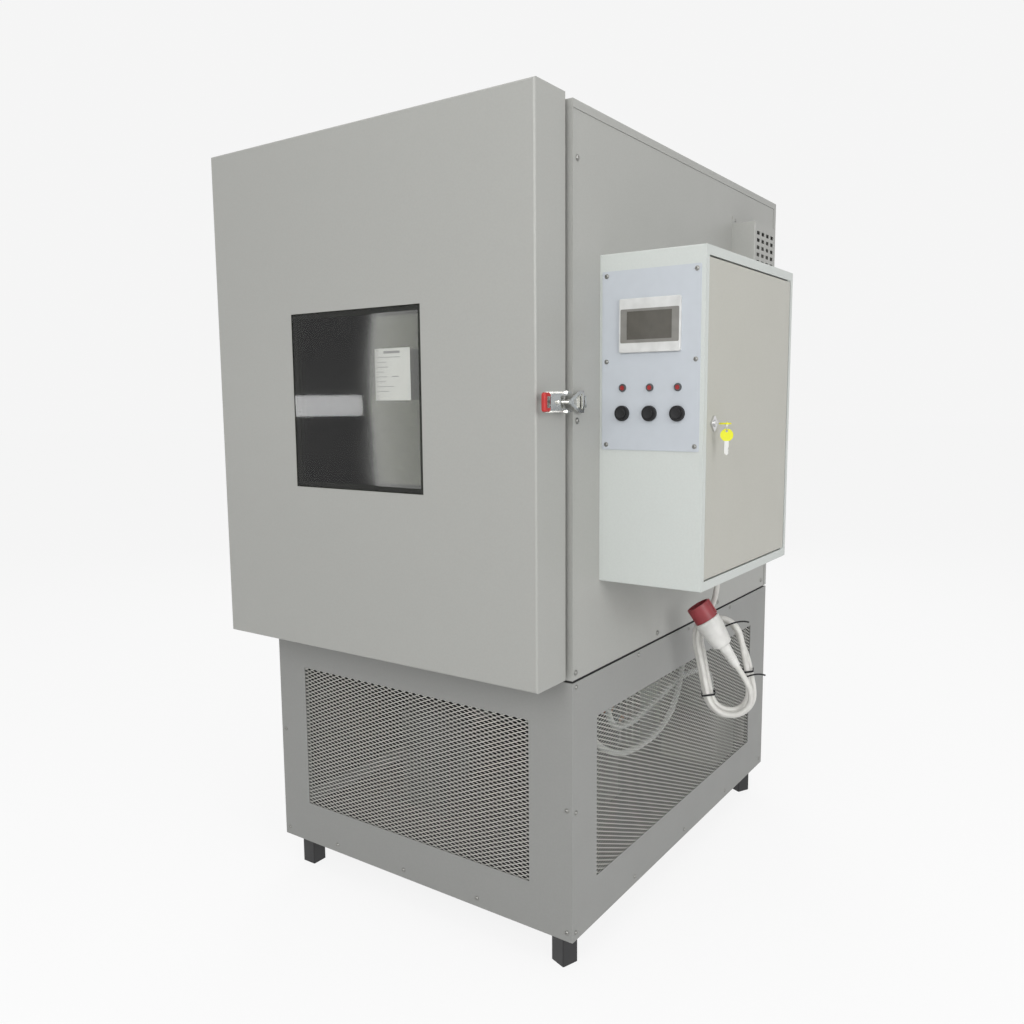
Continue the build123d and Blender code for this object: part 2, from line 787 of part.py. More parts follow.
# Tubular heater: one long hairpin on two clips in the duct
heat_z = evap_z0 + evap_h + 40
heat_y = (baf_y0 + cav_y1) / 2
heat_r = 5.0
with BuildPart() as heater:
    with BuildLine() as hairpin:
        FilletPolyline(
            (evap_x0 + 20, heat_y + 20, heat_z),
            (evap_x1 - 30, heat_y + 20, heat_z),
            (evap_x1 - 30, heat_y + 20, heat_z + 44),
            (evap_x0 + 20, heat_y + 20, heat_z + 44),
            radius=21,
        )
    with BuildSketch(Plane(origin=hairpin.line @ 0, z_dir=hairpin.line % 0)):
        Circle(heat_r)
    sweep(path=hairpin.line)
    for x0 in (evap_x0 + 60, evap_x1 - 90):
        block(x0, x0 + 3, heat_y + 12, cav_y1 - seam, heat_z - 8, heat_z + 52)
save(heater.part, "heater")

# Circulation fan: backplate, curved blades and a long shaft through the rear wall
fan_y0 = baf_y0 + 18
with BuildPart() as circulation_fan:
    rod_y(mid_x, fan_z, fan_y0 + fan_h - 3, fan_y0 + fan_h, fan_r)
    rod_y(mid_x, fan_z, fan_y0 + 10, fan_y0 + fan_h, 22)
    with BuildSketch(Plane.XZ.offset(-fan_y0)):
        with Locations((mid_x, fan_z)):
            with PolarLocations(fan_r * 0.72, 12):
                Rectangle(fan_r * 0.44, 2, rotation=38)
    extrude(amount=-(fan_h - 2))
    rod_y(mid_x, fan_z, fan_y0 + fan_h, wall_y1 + 60, shaft_r)
save(circulation_fan.part, "circulation_fan")

# Fan motor on the back of the rear wall
with BuildPart() as fan_motor:
    with BuildSketch(Plane.XZ.offset(-(wall_y1 + seam))):
        with Locations((mid_x, fan_z)):
            RectangleRounded(150, 150, 12)
    extrude(amount=-8)
    rod_y(mid_x, fan_z, wall_y1 + 8, wall_y1 + motor_l, motor_r)
    with BuildSketch(Plane.XZ.offset(-(wall_y1 + 20))):
        with Locations((mid_x, fan_z)):
            with PolarLocations(motor_r + 2, 16):
                Rectangle(9, 3)
    extrude(amount=-(motor_l - 40))
    rod_y(mid_x, fan_z, wall_y1, wall_y1 + 64, shaft_r + shaft_clear, mode=Mode.SUBTRACT)
save(fan_motor.part, "fan_motor")

# Lamp under the ceiling near the door
with BuildPart() as chamber_lamp:
    rod_z(mid_x, cav_y0 + 90, cav_z1 - 14, cav_z1 - seam, 52)
    rod_z(mid_x, cav_y0 + 90, cav_z1 - 34, cav_z1 - 14, 42)
    fillet(chamber_lamp.edges().group_by(Axis.Z)[0], 12)
save(chamber_lamp.part, "chamber_lamp")

# Ventilated cover on the right side: a folded box with flanges and slotted face
vent_y0 = front_y + vent_y
vent_y1 = vent_y0 + vent_l
vent_x1 = side_x + vent_d
vent_z0 = vent_top - vent_h
with BuildPart() as vent_cover:
    block(panel_face, vent_x1, vent_y0, vent_y1, vent_z0, vent_top)
    fillet(vent_cover.edges().filter_by(Axis.Z).group_by(Axis.X)[-1], corner_r)
    block(
        panel_face, vent_x1 - skin, vent_y0 + skin, vent_y1 - skin,
        vent_z0 + skin, vent_top - skin, mode=Mode.SUBTRACT,
    )
    for z0 in (vent_z0 - vent_flange, vent_top):
        block(panel_face, panel_face + skin, vent_y0, vent_y1, z0, z0 + vent_flange)
    with BuildSketch(Plane.YZ.offset(vent_x1)):
        with Locations((vent_y0 + 25 + 1.5 * slot_pitch_y, vent_top - 26 - 3 * slot_pitch_z)):
            with GridLocations(slot_pitch_y, slot_pitch_z, 4, 7):
                Rectangle(slot_l, slot_h)
    extrude(amount=-skin * 2, mode=Mode.SUBTRACT)
save(vent_cover.part, "vent_cover")

# Door skin: a deep tub with rounded front edges and the window opening
win_x0 = win_x - window_w / 2
win_x1 = win_x + window_w / 2
win_z0 = window_z - window_h / 2
win_z1 = window_z + window_h / 2
with BuildPart() as door_skin:
    block(door_x0, door_x1, door_y0, door_y1, door_z0, door_z1)
    fillet(door_skin.faces().sort_by(Axis.Y)[0].edges(), door_edge_r)
    block(
        door_x0 + door_skin_t, door_x1 - door_skin_t, door_y0 + door_skin_t, door_y1,
        door_z0 + door_skin_t, door_z1 - door_skin_t, mode=Mode.SUBTRACT,
    )
    block(win_x0, win_x1, door_y0, door_y0 + door_skin_t, win_z0, win_z1, mode=Mode.SUBTRACT)
save(door_skin.part, "door_skin")

# Door liner: closing plate with the raised plug that reaches into the mouth
dl_x0 = door_x0 + door_skin_t + seam
dl_x1 = door_x1 - door_skin_t - seam
dl_z0 = door_z0 + door_skin_t + seam
dl_z1 = door_z1 - door_skin_t - seam
plug_x0 = cav_x0 + plug_clear
plug_x1 = cav_x1 - plug_clear
plug_z0 = cavity_z0 + plug_clear
plug_z1 = cav_z1 - plug_clear
with BuildPart() as door_liner:
    block(dl_x0, dl_x1, door_y1 - liner_t, door_y1, dl_z0, dl_z1)
    block(plug_x0, plug_x1, door_y1, door_y1 + plug_depth, plug_z0, plug_z1)
    fillet(door_liner.faces().sort_by(Axis.Y)[-1].edges(), 3)
    block(
        plug_x0 + liner_t, plug_x1 - liner_t, door_y1 - liner_t, door_y1 + plug_depth - liner_t,
        plug_z0 + liner_t, plug_z1 - liner_t, mode=Mode.SUBTRACT,
    )
    block(
        win_x0, win_x1, door_y1, door_y1 + plug_depth, win_z0, win_z1, mode=Mode.SUBTRACT,
    )
save(door_liner.part, "door_liner")

# Door insulation round the window
di_y0 = door_y0 + door_skin_t + seam
di_y1 = door_y1 - liner_t - seam
with BuildPart() as door_insulation:
    block(dl_x0, dl_x1, di_y0, di_y1, dl_z0, win_z0 - seam)
    block(dl_x0, dl_x1, di_y0, di_y1, win_z1 + seam, dl_z1)
    block(dl_x0, win_x0 - seam, di_y0, di_y1, win_z0, win_z1)
    block(win_x1 + seam, dl_x1, di_y0, di_y1, win_z0, win_z1)
save(door_insulation.part, "door_insulation")

# Window frame: a thin sleeve through the door and the spacers between the panes
sleeve_y0 = door_y0 + 0.5
sleeve_y1 = door_y1 + plug_depth
frame_out = window_clear
pane_y0 = sleeve_y0 + 0.8
pane_y1 = sleeve_y1 - 0.8
spacer_d = (pane_y1 - pane_y0 - pane_count * pane_t) / (pane_count - 1)
glass_x0 = win_x0 + frame_out + window_wall + window_clear
glass_x1 = win_x1 - frame_out - window_wall - window_clear
glass_z0 = win_z0 + frame_out + window_wall + window_clear
glass_z1 = win_z1 - frame_out - window_wall - window_clear
with BuildPart() as window_frame:
    block(
        win_x0 + frame_out, win_x1 - frame_out, sleeve_y0, sleeve_y1,
        win_z0 + frame_out, win_z1 - frame_out,
    )
    block(
        win_x0 + frame_out + window_wall, win_x1 - frame_out - window_wall, sleeve_y0, sleeve_y1,
        win_z0 + frame_out + window_wall, win_z1 - frame_out - window_wall, mode=Mode.SUBTRACT,
    )
    for i in range(pane_count - 1):
        y0 = pane_y0 + pane_t + i * (pane_t + spacer_d)
        block(glass_x0, glass_x1, y0, y0 + spacer_d, glass_z0, glass_z1)
        block(
            glass_x0 + spacer_w, glass_x1 - spacer_w, y0, y0 + spacer_d,
            glass_z0 + spacer_w, glass_z1 - spacer_w, mode=Mode.SUBTRACT,
        )
save(window_frame.part, "window_frame")

# Window panes
with BuildPart() as window_panes:
    for i in range(pane_count):
        y0 = pane_y0 + i * (pane_t + spacer_d)
        block(glass_x0, glass_x1, y0, y0 + pane_t, glass_z0, glass_z1)
save(window_panes.part, "window_panes")

# Door gasket: a hollow-looking bulb strip round the mouth, just clear of the front frame
gk_x0 = cav_x0 - gasket_out
gk_x1 = cav_x1 + gasket_out
gk_z0 = cavity_z0 - gasket_out
gk_z1 = cav_z1 + gasket_out
with BuildPart() as door_gasket:
    block(gk_x0, gk_x1, door_y1, front_y - gasket_clear, gk_z0, gk_z1)
    block(
        gk_x0 + gasket_w, gk_x1 - gasket_w, door_y1, front_y - gasket_clear,
        gk_z0 + gasket_w, gk_z1 - gasket_w, mode=Mode.SUBTRACT,
    )
    fillet(door_gasket.faces().sort_by(Axis.Y)[-1].edges(), 4)
save(door_gasket.part, "door_gasket")

# Door hinges: body brackets with their pins, door straps with the middle knuckle
axis_x = left_x - door_overhang / 2
axis_y = front_y + hinge_y
third = hinge_len / 3
left_face = left_x + panel_inset
with BuildPart() as body_hinges:
    for z in hinge_zs:
        block(left_face - hinge_leaf, left_face, front_y + 6, front_y + 86,
              z - hinge_len / 2, z + hinge_len / 2)
        for z0 in (z - hinge_len / 2, z + third / 2 + hinge_clear):
            z1 = z0 + third - hinge_clear
            rod_z(axis_x, axis_y, z0, z1, hinge_r)
            block(axis_x, left_face - hinge_leaf, axis_y - 2, axis_y + hinge_r, z0, z1)
        rod_z(axis_x, axis_y, z - hinge_len / 2, z + hinge_len / 2 + 4, hinge_pin_r)
save(body_hinges.part, "body_hinges")

with BuildPart() as door_hinges:
    for z in hinge_zs:
        z0 = z - third / 2 + hinge_clear
        z1 = z + third / 2 - hinge_clear
        block(door_x0 + 3, left_x - 3, door_y1, door_y1 + hinge_leaf,
              z - hinge_len / 2, z + hinge_len / 2)
        block(axis_x - hinge_r, axis_x, door_y1 + hinge_leaf, axis_y, z0, z1)
        rod_z(axis_x, axis_y, z0, z1, hinge_r)
        rod_z(axis_x, axis_y, z0, z1, hinge_pin_r + hinge_clear / 2, mode=Mode.SUBTRACT)
save(door_hinges.part, "door_hinges")

# Latch base on the door's edge: plate, two lugs and the stub pivots of the lever
lug_out = 19.0
lug_z = 16.0
lug_t = 3.0
fork_z = 14.5
fork_t = 2.5
latch_px = side_x + latch_pivot_x
latch_py = front_y + latch_pivot_y
pivot_r = 2.5
with BuildPart() as latch_base:
    block(
        door_x1, door_x1 + latch_plate_t, front_y - 92, front_y - 24,
        latch_z - lug_z - lug_t, latch_z + lug_z + lug_t,
    )
    for side in (-1, 1):
        z0 = latch_z + lug_z if side > 0 else latch_z - lug_z - lug_t
        with BuildSketch(Plane.XY.offset(z0)):
            with BuildLine():
                Polyline(
                    (door_x1, front_y - 62), (side_x + lug_out - 5, front_y - 56),
                    (side_x + lug_out, front_y - 50), (side_x + lug_out, front_y - 36),
                    (side_x + lug_out - 6, front_y - 30), (door_x1, front_y - 27), close=True,
                )
            make_face()
        extrude(amount=lug_t)
        stub_z0 = latch_z + fork_z - fork_t if side > 0 else latch_z - lug_z
        rod_z(latch_px, latch_py, stub_z0, stub_z0 + lug_z - fork_z + fork_t, pivot_r)
save(latch_base.part, "latch_base")

# Latch lever: a fork that turns between the lugs, with the cross pin of the bail
lever_x0 = side_x + 5
lever_x1 = side_x + 16
lever_y0 = front_y - 104
lever_y1 = latch_py + 6
bail_px = side_x + bail_x
bail_py = front_y + bail_pivot_y
bail_pin_r = 2.0
with BuildPart() as latch_lever:
    block(lever_x0, lever_x1, lever_y0, lever_y1, latch_z - fork_z, latch_z + fork_z)
    fillet(
        latch_lever.edges().filter_by(Axis.Z).group_by(Axis.Y)[-1], 5,
    )
    block(
        lever_x0, lever_x1 - 2, lever_y0, lever_y1,
        latch_z - fork_z + fork_t, latch_z + fork_z - fork_t, mode=Mode.SUBTRACT,
    )
    block(
        lever_x1 - 2, lever_x1, bail_py - 8, lever_y1,
        latch_z - fork_z + fork_t, latch_z + fork_z - fork_t, mode=Mode.SUBTRACT,
    )
    rod_z(bail_px + 1, bail_py, latch_z - fork_z, latch_z + fork_z, 4)
    block(
        lever_x0 - 6, lever_x1, bail_py - 6, bail_py + 6,
        latch_z - fork_z + fork_t, latch_z + fork_z - fork_t, mode=Mode.SUBTRACT,
    )
    rod_z(bail_px, bail_py, latch_z - fork_z, latch_z + fork_z, bail_pin_r)
    rod_z(latch_px, latch_py, latch_z - fork_z, latch_z + fork_z, pivot_r + 0.2, mode=Mode.SUBTRACT)
    rod_x(front_y - 80, latch_z, lever_x1, lever_x1 + 2, 4)
save(latch_lever.part, "latch_lever")

# Red grip: a U-shaped moulded sleeve at the end of the lever
grip_y0 = door_y0 - grip_front
with BuildPart() as latch_grip:
    with BuildSketch(Plane.YZ.offset(lever_x0 + 1)):
        with Locations(((grip_y0 + lever_y0) / 2, latch_z)):
            RectangleRounded(lever_y0 - grip_y0, 35, 5)
        with Locations(((grip_y0 + 8 + lever_y0) / 2, latch_z)):
            Rectangle(lever_y0 - grip_y0 - 8, 21, mode=Mode.SUBTRACT)
        for side in (-1, 1):
            with Locations((lever_y0 - 3, latch_z + side * 14)):
                Rectangle(6, 7)
    extrude(amount=9)
    fillet(latch_grip.edges().filter_by(Axis.Z).group_by(Axis.Y)[0], 3.5)
save(latch_grip.part, "latch_grip")

# Bail: eye on the cross pin, threaded stem and the triangular loop that takes the keeper
bail_y_end = front_y + bail_end_y
with BuildPart() as latch_bail:
    rod_z(bail_px, bail_py, latch_z - 9, latch_z + 9, 4.5)
    rod_y(bail_px, latch_z, bail_py, front_y - 17, 3)
    rod_z(bail_px, bail_py, latch_z - 9, latch_z + 9, bail_pin_r + 0.2, mode=Mode.SUBTRACT)
    with BuildSketch(Plane.YZ.offset(bail_px - bail_t / 2)):
        with BuildLine():
            Polyline(
                (front_y - 22, latch_z - 5), (front_y + 12, latch_z - 21),
                (bail_y_end, latch_z - 21), (bail_y_end, latch_z + 21),
                (front_y + 12, latch_z + 21), (front_y - 22, latch_z + 5), close=True,
            )
        make_face()
        with BuildLine():
            Polyline(
                (front_y - 8, latch_z - 4), (front_y + 13.5, latch_z - 15.5),
                (bail_y_end - 5, latch_z - 15.5), (bail_y_end - 5, latch_z + 15.5),
                (front_y + 13.5, latch_z + 15.5), (front_y - 8, latch_z + 4), close=True,
            )
        make_face(mode=Mode.SUBTRACT)
    extrude(amount=bail_t)
    with BuildSketch(Plane.XZ.offset(-(front_y - 30))):
        with Locations((bail_px, latch_z)):
            RegularPolygon(5.2, 6)
    extrude(amount=-5)
save(latch_bail.part, "latch_bail")

# Keeper on the body: plate, low lip and the raised block behind the bail
lip_top = bail_px - bail_t / 2 - lip_clear
with BuildPart() as latch_keeper:
    block(panel_face, panel_face + 2, front_y + 8, front_y + 42, latch_z - 16, latch_z + 16)
    block(panel_face, lip_top, front_y + 17, front_y + 21, latch_z - 11, latch_z + 11)
    block(
        panel_face, bail_px + bail_t / 2 + 1, bail_y_end + 1.5, bail_y_end + 7,
        latch_z - 11, latch_z + 11,
    )
save(latch_keeper.part, "latch_keeper")

# Control cabinet shell: folded box, rim with a lip, hinge brackets for its door
cb_y0 = cab_y0 + rim_side
cb_y1 = cab_y1 - rim_rear
cb_z0 = cab_z + rim_top
cb_z1 = cab_z1 - rim_top
cdoor_x1 = cab_x1 - cab_door_inset
cdoor_x0 = cdoor_x1 - cab_door_t
cdoor_y0 = cb_y0 + cab_gap
cdoor_y1 = cb_y1 - cab_gap_rear
cdoor_z0 = cb_z0 + cab_gap_top
cdoor_z1 = cb_z1 - cab_gap_top
caxis_x = cdoor_x1 - cab_door_t / 2
caxis_y = cdoor_y1 - cab_axis_in
gland_ax = side_x + gland_x
gland_ay = front_y + gland_y
plate_y = cab_y0 - plate_t
with BuildPart() as cabinet_shell:
    block(cab_x0, cab_x1, cab_y0, cab_y1, cab_z, cab_z1)
    fillet(cabinet_shell.edges().filter_by(Axis.X), 2)
    block(
        cab_x0 + cab_skin, cab_x1 - cab_skin, cab_y0 + cab_skin, cab_y1 - cab_skin,
        cab_z + cab_skin, cab_z1 - cab_skin, mode=Mode.SUBTRACT,
    )
    block(
        cab_x1 - lip_d, cab_x1, cb_y0 - cab_skin, cb_y1 + cab_skin,
        cb_z0 - cab_skin, cb_z1 + cab_skin,
    )
    block(cab_x1 - lip_d, cab_x1, cb_y0, cb_y1, cb_z0, cb_z1, mode=Mode.SUBTRACT)
    for z0, pin_z0 in ((cdoor_z1 + 0.5, cdoor_z1 - 5), (cb_z0, cb_z0)):
        block(cab_x1 - 15, cab_x1 - 2, caxis_y - 6, cb_y1, z0, z0 + cab_gap_top - 0.5)
        rod_z(caxis_x, caxis_y, pin_z0, pin_z0 + cab_gap_top + 5, cab_pin_r)
    for x in control_xs:
        rod_y(side_x + x, button_z, cab_y0, cab_y0 + cab_skin, button_r + 1, mode=Mode.SUBTRACT)
save(cabinet_shell.part, "cabinet_shell")

# Cabinet door: a folded pan with the lock's hole
with BuildPart() as cabinet_door:
    block(cdoor_x0, cdoor_x1, cdoor_y0, cdoor_y1, cdoor_z0, cdoor_z1)
    fillet(cabinet_door.faces().sort_by(Axis.X)[-1].edges(), 1.2)
    block(
        cdoor_x0, cdoor_x1 - cab_skin, cdoor_y0 + cab_skin, cdoor_y1 - cab_skin,
        cdoor_z0 + cab_skin, cdoor_z1 - cab_skin, mode=Mode.SUBTRACT,
    )
    rod_x(front_y + lock_y, lock_z, cdoor_x0, cdoor_x1, barrel_r + seam, mode=Mode.SUBTRACT)
    rod_z(caxis_x, caxis_y, cdoor_z0, cdoor_z0 + cab_skin, cab_pin_r + 0.3, mode=Mode.SUBTRACT)
    rod_z(caxis_x, caxis_y, cdoor_z1 - cab_skin, cdoor_z1, cab_pin_r + 0.3, mode=Mode.SUBTRACT)
save(cabinet_door.part, "cabinet_door")

# Lock housing: diamond escutcheon, barrel and nut
lk_y = front_y + lock_y
with BuildPart() as lock_housing:
    with BuildSketch(Plane.YZ.offset(cdoor_x1)):
        with Locations((lk_y, lock_z)):
            RectangleRounded(
                escutcheon_w / math.sqrt(2) + 3, escutcheon_w / math.sqrt(2) + 3, 3, rotation=45,
            )
    extrude(amount=escutcheon_t)
    rod_x(lk_y, lock_z, cdoor_x1 - 19, cdoor_x1, barrel_r)
    with BuildSketch(Plane.YZ.offset(cdoor_x1 - cab_skin - 5)):
        with Locations((lk_y, lock_z)):
            RegularPolygon(14, 6)
    extrude(amount=5)
    rod_x(
        lk_y, lock_z, cdoor_x1 - 19, cdoor_x1 + escutcheon_t, rotor_r + rotor_clear,
        mode=Mode.SUBTRACT,
    )
save(lock_housing.part, "lock_housing")

# Lock cylinder with the cam, drawn unlocked with the cam upright
rotor_x0 = cdoor_x1 - 19 - 0.4
with BuildPart() as lock_cylinder:
    rod_x(lk_y, lock_z, rotor_x0, cdoor_x1 + escutcheon_t + rotor_out, rotor_r)
    with BuildSketch(Plane.YZ.offset(rotor_x0)):
        with Locations((lk_y, lock_z + cam_l / 2 - cam_w / 4)):
            RectangleRounded(cam_w, cam_l + cam_w / 2, 5)
    extrude(amount=-cam_t)
save(lock_cylinder.part, "lock_cylinder")

# Key in the lock: short blade, round bow lying level, and the ring through its hole
key_x0 = cdoor_x1 + escutcheon_t + rotor_out
bow_x = key_x0 + 8 + bow_r - 1
hole_x = bow_x + 3
turn = math.radians(spare_turn)
ring_dx = -math.sin(turn) * ring_r
ring_dy = -math.cos(turn) * ring_r
ring_x = hole_x + ring_dx
ring_y = lk_y + ring_dy
ring_z = lock_z + bow_t / 2 - 6.1
with BuildPart() as key:
    block(key_x0, key_x0 + 9, lk_y - 4.5, lk_y + 4.5, lock_z - 1.1, lock_z + 1.1)
    rod_z(bow_x, lk_y, lock_z - bow_t / 2, lock_z + bow_t / 2, bow_r)
    rod_z(hole_x, lk_y, lock_z - bow_t / 2, lock_z + bow_t / 2, bow_hole_r, mode=Mode.SUBTRACT)
    with BuildSketch(Plane(origin=(hole_x, lk_y, ring_z), x_dir=(ring_dx, ring_dy, 0), z_dir=(0, 0, 1))):
        Circle(ring_wire_r)
    revolve(axis=Axis((ring_x, ring_y, ring_z), (math.cos(turn), -math.sin(turn), 0)))
save(key.part, "key")

# Spare key hanging from the ring
spare_top = ring_z - ring_r
spare_plane = Plane(
    origin=(ring_x, ring_y, spare_top + ring_wire_r + 0.3 - 2.4),
    x_dir=(math.cos(turn), -math.sin(turn), 0),
    z_dir=(-math.sin(turn), -math.cos(turn), 0),
)
with BuildPart() as spare_key:
    with BuildSketch(spare_plane):
        with Locations((0, 4.4 - spare_bow_r)):
            Circle(spare_bow_r)
        Circle(2.4, mode=Mode.SUBTRACT)
        with BuildLine():
            Polyline(
                (-4, 6 - 2 * spare_bow_r), (4, 6 - 2 * spare_bow_r), (4, -30), (2.4, -33),
                (4, -36), (2.4, -39), (4, -42), (0, -46), (-4, -42), close=True,
            )
        make_face()
    extrude(amount=spare_t / 2, both=True)
save(spare_key.part, "spare_key")

# Operator plate on the cabinet's front with clearance holes for the buttons
px_mid = side_x + plate_x
with BuildPart() as panel_plate:
    with BuildSketch(Plane.XZ.offset(-plate_y)):
        with Locations((px_mid, plate_z)):
            RectangleRounded(plate_w, plate_h, 3)
        for x in control_xs:
            with Locations((side_x + x, button_z)):
                Circle(button_r + 1, mode=Mode.SUBTRACT)
    extrude(amount=-plate_t)
save(panel_plate.part, "panel_plate")

# Touch panel bezel with its recess, and the screen in it
touch_mx = side_x + touch_x
with BuildPart() as touch_panel:
    with BuildSketch(Plane.XZ.offset(-plate_y)):
        with Locations((touch_mx, touch_z)):
            RectangleRounded(touch_w, touch_h, 4)
    extrude(amount=touch_t)
    fillet(touch_panel.faces().sort_by(Axis.Y)[0].edges(), 1.5)
    with BuildSketch(Plane.XZ.offset(-(plate_y - touch_t))):
        with Locations((touch_mx, touch_z)):
            Rectangle(screen_w, screen_h)
    extrude(amount=-screen_t - 0.6, mode=Mode.SUBTRACT)
save(touch_panel.part, "touch_panel")

with BuildPart() as touch_screen:
    block(
        touch_mx - screen_w / 2 + seam, touch_mx + screen_w / 2 - seam,
        plate_y - touch_t + 0.6, plate_y - touch_t + 0.6 + screen_t,
        touch_z - screen_h / 2 + seam, touch_z + screen_h / 2 - seam,
    )
save(touch_screen.part, "touch_screen")

# Indicator lamps
with BuildPart() as indicators:
    for x in control_xs:
        rod_y(side_x + x, lamp_z, plate_y - 3, plate_y, lamp_r)
save(indicators.part, "indicators")

# Pushbutton collars with their guide tubes
with BuildPart() as button_collars:
    for x in control_xs:
        rod_y(side_x + x, button_z, plate_y - collar_t, plate_y, collar_r)
        rod_y(side_x + x, button_z, plate_y, plate_y + 22, button_r + 0.95)
        rod_y(
            side_x + x, button_z, plate_y - collar_t, plate_y + 22, button_r - 1.6 + button_clear,
            mode=Mode.SUBTRACT,
        )
save(button_collars.part, "button_collars")

# Pushbuttons: each slides in its collar
for index, x in enumerate(control_xs):
    with BuildPart() as cap:
        face_y = plate_y - collar_t - button_out
        rod_y(side_x + x, button_z, face_y, face_y + button_deep, button_r - 1.6)
        fillet(cap.edges().sort_by(Axis.Y)[0], 1.2)
    save(cap.part, f"button_{index + 1}")

# Mounting plate in the cabinet with rails, breakers, contactors and terminals
mp_x0 = cab_x0 + cab_skin + 14
mp_t = 2.0
with BuildPart() as mounting_plate:
    block(mp_x0, mp_x0 + mp_t, cab_y0 + 30, cab_y1 - 30, cab_z + 30, cab_z1 - 30)
    for y in (cab_y0 + 45, cab_y1 - 45):
        for z in (cab_z + 45, cab_z1 - 45):
            rod_x(y, z, cab_x0 + cab_skin, mp_x0, 6)
    dev_x = mp_x0 + mp_t
    for z in (cab_z + 110, cab_z + 300, cab_z + 490):
        block(dev_x, dev_x + 7, cab_y0 + 50, cab_y1 - 50, z - 17, z + 17)
save(mounting_plate.part, "mounting_plate")

with BuildPart() as switchgear:
    rail_x = dev_x + 7 + seam
    for row_z, widths, height, depth in (
        (cab_z + 490, (72, 36, 36, 54, 90), 84, 62),
        (cab_z + 300, (45, 45, 45, 60, 110), 80, 78),
        (cab_z + 110, (30, 30, 30, 30, 30, 30, 30, 30, 30, 30, 30), 50, 40),
    ):
        y = cab_y0 + 60
        for width in widths:
            block(rail_x, rail_x + depth, y, y + width, row_z - height / 2, row_z + height / 2)
            if depth > 50:
                block(
                    rail_x + depth, rail_x + depth + 14, y + width * 0.3, y + width * 0.7,
                    row_z - 15, row_z + 15,
                )
            y += width
save(switchgear.part, "switchgear")

# Cable gland under the cabinet
gland_z1 = cab_z
gland_z0 = gland_z1 - gland_l
with BuildPart() as cable_gland:
    with BuildSketch(Plane.XY.offset(gland_z0 + 10)):
        with Locations((gland_ax, gland_ay)):
            RegularPolygon(15, 6)
    extrude(amount=gland_l - 10)
    rod_z(gland_ax, gland_ay, gland_z0, gland_z0 + 10, 11.5)
    fillet(cable_gland.edges().group_by(Axis.Z)[0], 3)
save(cable_gland.part, "cable_gland")

# Plane of the hank: level axis turned a little, normal towards the front right
ca = math.cos(math.radians(hank_turn))
sa = math.sin(math.radians(hank_turn))


def hank_point(s, z, off):
    """Point at s along the hank's level axis, height z and distance off in front of it."""
    return (gland_ax + s * ca + off * sa, gland_ay + s * sa - off * ca, z)


ct = math.cos(math.radians(hank_tilt))
st = math.sin(math.radians(hank_tilt))


def hank_plane(u, v, off):
    """Plane facing out of the hank at u across and v along its tilted long axis."""
    s = hank_s + u * ct - v * st
    z = hank_z + u * st + v * ct
    return Plane(
        origin=hank_point(s, z, off),
        x_dir=(ca * ct, sa * ct, st),
        z_dir=(sa, -ca, 0),
    )


# Hank of cord: outer shape of three turns of a long oval loop
with BuildPart() as cord_coil:
    with BuildSketch(hank_plane(0, 0, -hank_thick / 2)):
        SlotOverall(hank_l, hank_w, rotation=90)
        SlotOverall(
            hank_l - 2 * hank_band, hank_w - 2 * hank_band, rotation=90, mode=Mode.SUBTRACT,
        )
    extrude(amount=hank_thick)
    fillet(cord_coil.edges().filter_by(GeomType.CIRCLE), 8)
save(cord_coil.part, "cord_coil")

# Plug: white tapered body, red collar with its recess, pins inside
plug_off = hank_thick / 2 + plug_r + plug_clear_hank
plug_front = Vector(*hank_point(-43, 721.4, plug_off))
plug_tail = Vector(*hank_point(47, 584, plug_off))
plug_dir = (plug_tail - plug_front).normalized()
plug_len = (plug_tail - plug_front).length
plug_plane = Plane(origin=plug_front, x_dir=(sa, -ca, 0), z_dir=plug_dir)
collar_len = 39.0
with BuildPart() as plug_collar:
    with BuildSketch(plug_plane):
        Circle(plug_collar_r)
    extrude(amount=collar_len)
    with BuildSketch(plug_plane):
        Circle(plug_collar_r - 3)
    extrude(amount=collar_len - 5, mode=Mode.SUBTRACT)
    with BuildSketch(plug_plane):
        with Locations((0, -plug_collar_r)):
            Rectangle(9, 5)
    extrude(amount=collar_len - 4)
    fillet(plug_collar.edges().filter_by(GeomType.CIRCLE).sort_by(Axis.Z)[-1], 1)
save(plug_collar.part, "plug_collar")

plug_stations = ((collar_len, plug_r), (62, plug_r), (106, 22), (112, 13.5), (132, 12), (plug_len, 9))
with BuildPart() as plug_body:
    for (a0, r0), (a1, r1) in zip(plug_stations, plug_stations[1:]):
        with BuildSketch(plug_plane.offset(a0)):
            Circle(r0)
        with BuildSketch(plug_plane.offset(a1)):
            Circle(r1)
        loft()
save(plug_body.part, "plug_body")

# Supply cord: from the gland to the hank, and from the plug's tail back to the hank
tube_end_z = hank_z + hank_l / 2 - 14
drop_points = (
    (gland_ax, gland_ay, gland_z0),
    (gland_ax - 1.5, gland_ay + 1, gland_z0 - 38),
    hank_point(-4, 728, -1),
    hank_point(-5, tube_end_z, 0),
)
tail_points = (
    tuple(plug_tail),
    tuple(plug_tail + plug_dir * 22),
    hank_point(66, 536, plug_off - 12),
    hank_point(72, 506, plug_off - 28),
    hank_point(72, 478, plug_off - 34),
)
with BuildPart() as supply_cord:
    for points in (drop_points, tail_points):
        print("cord radii and length", tube_along(points, cord_d / 2))
print("cord volume", round(supply_cord.part.volume))
save(supply_cord.part, "supply_cord")


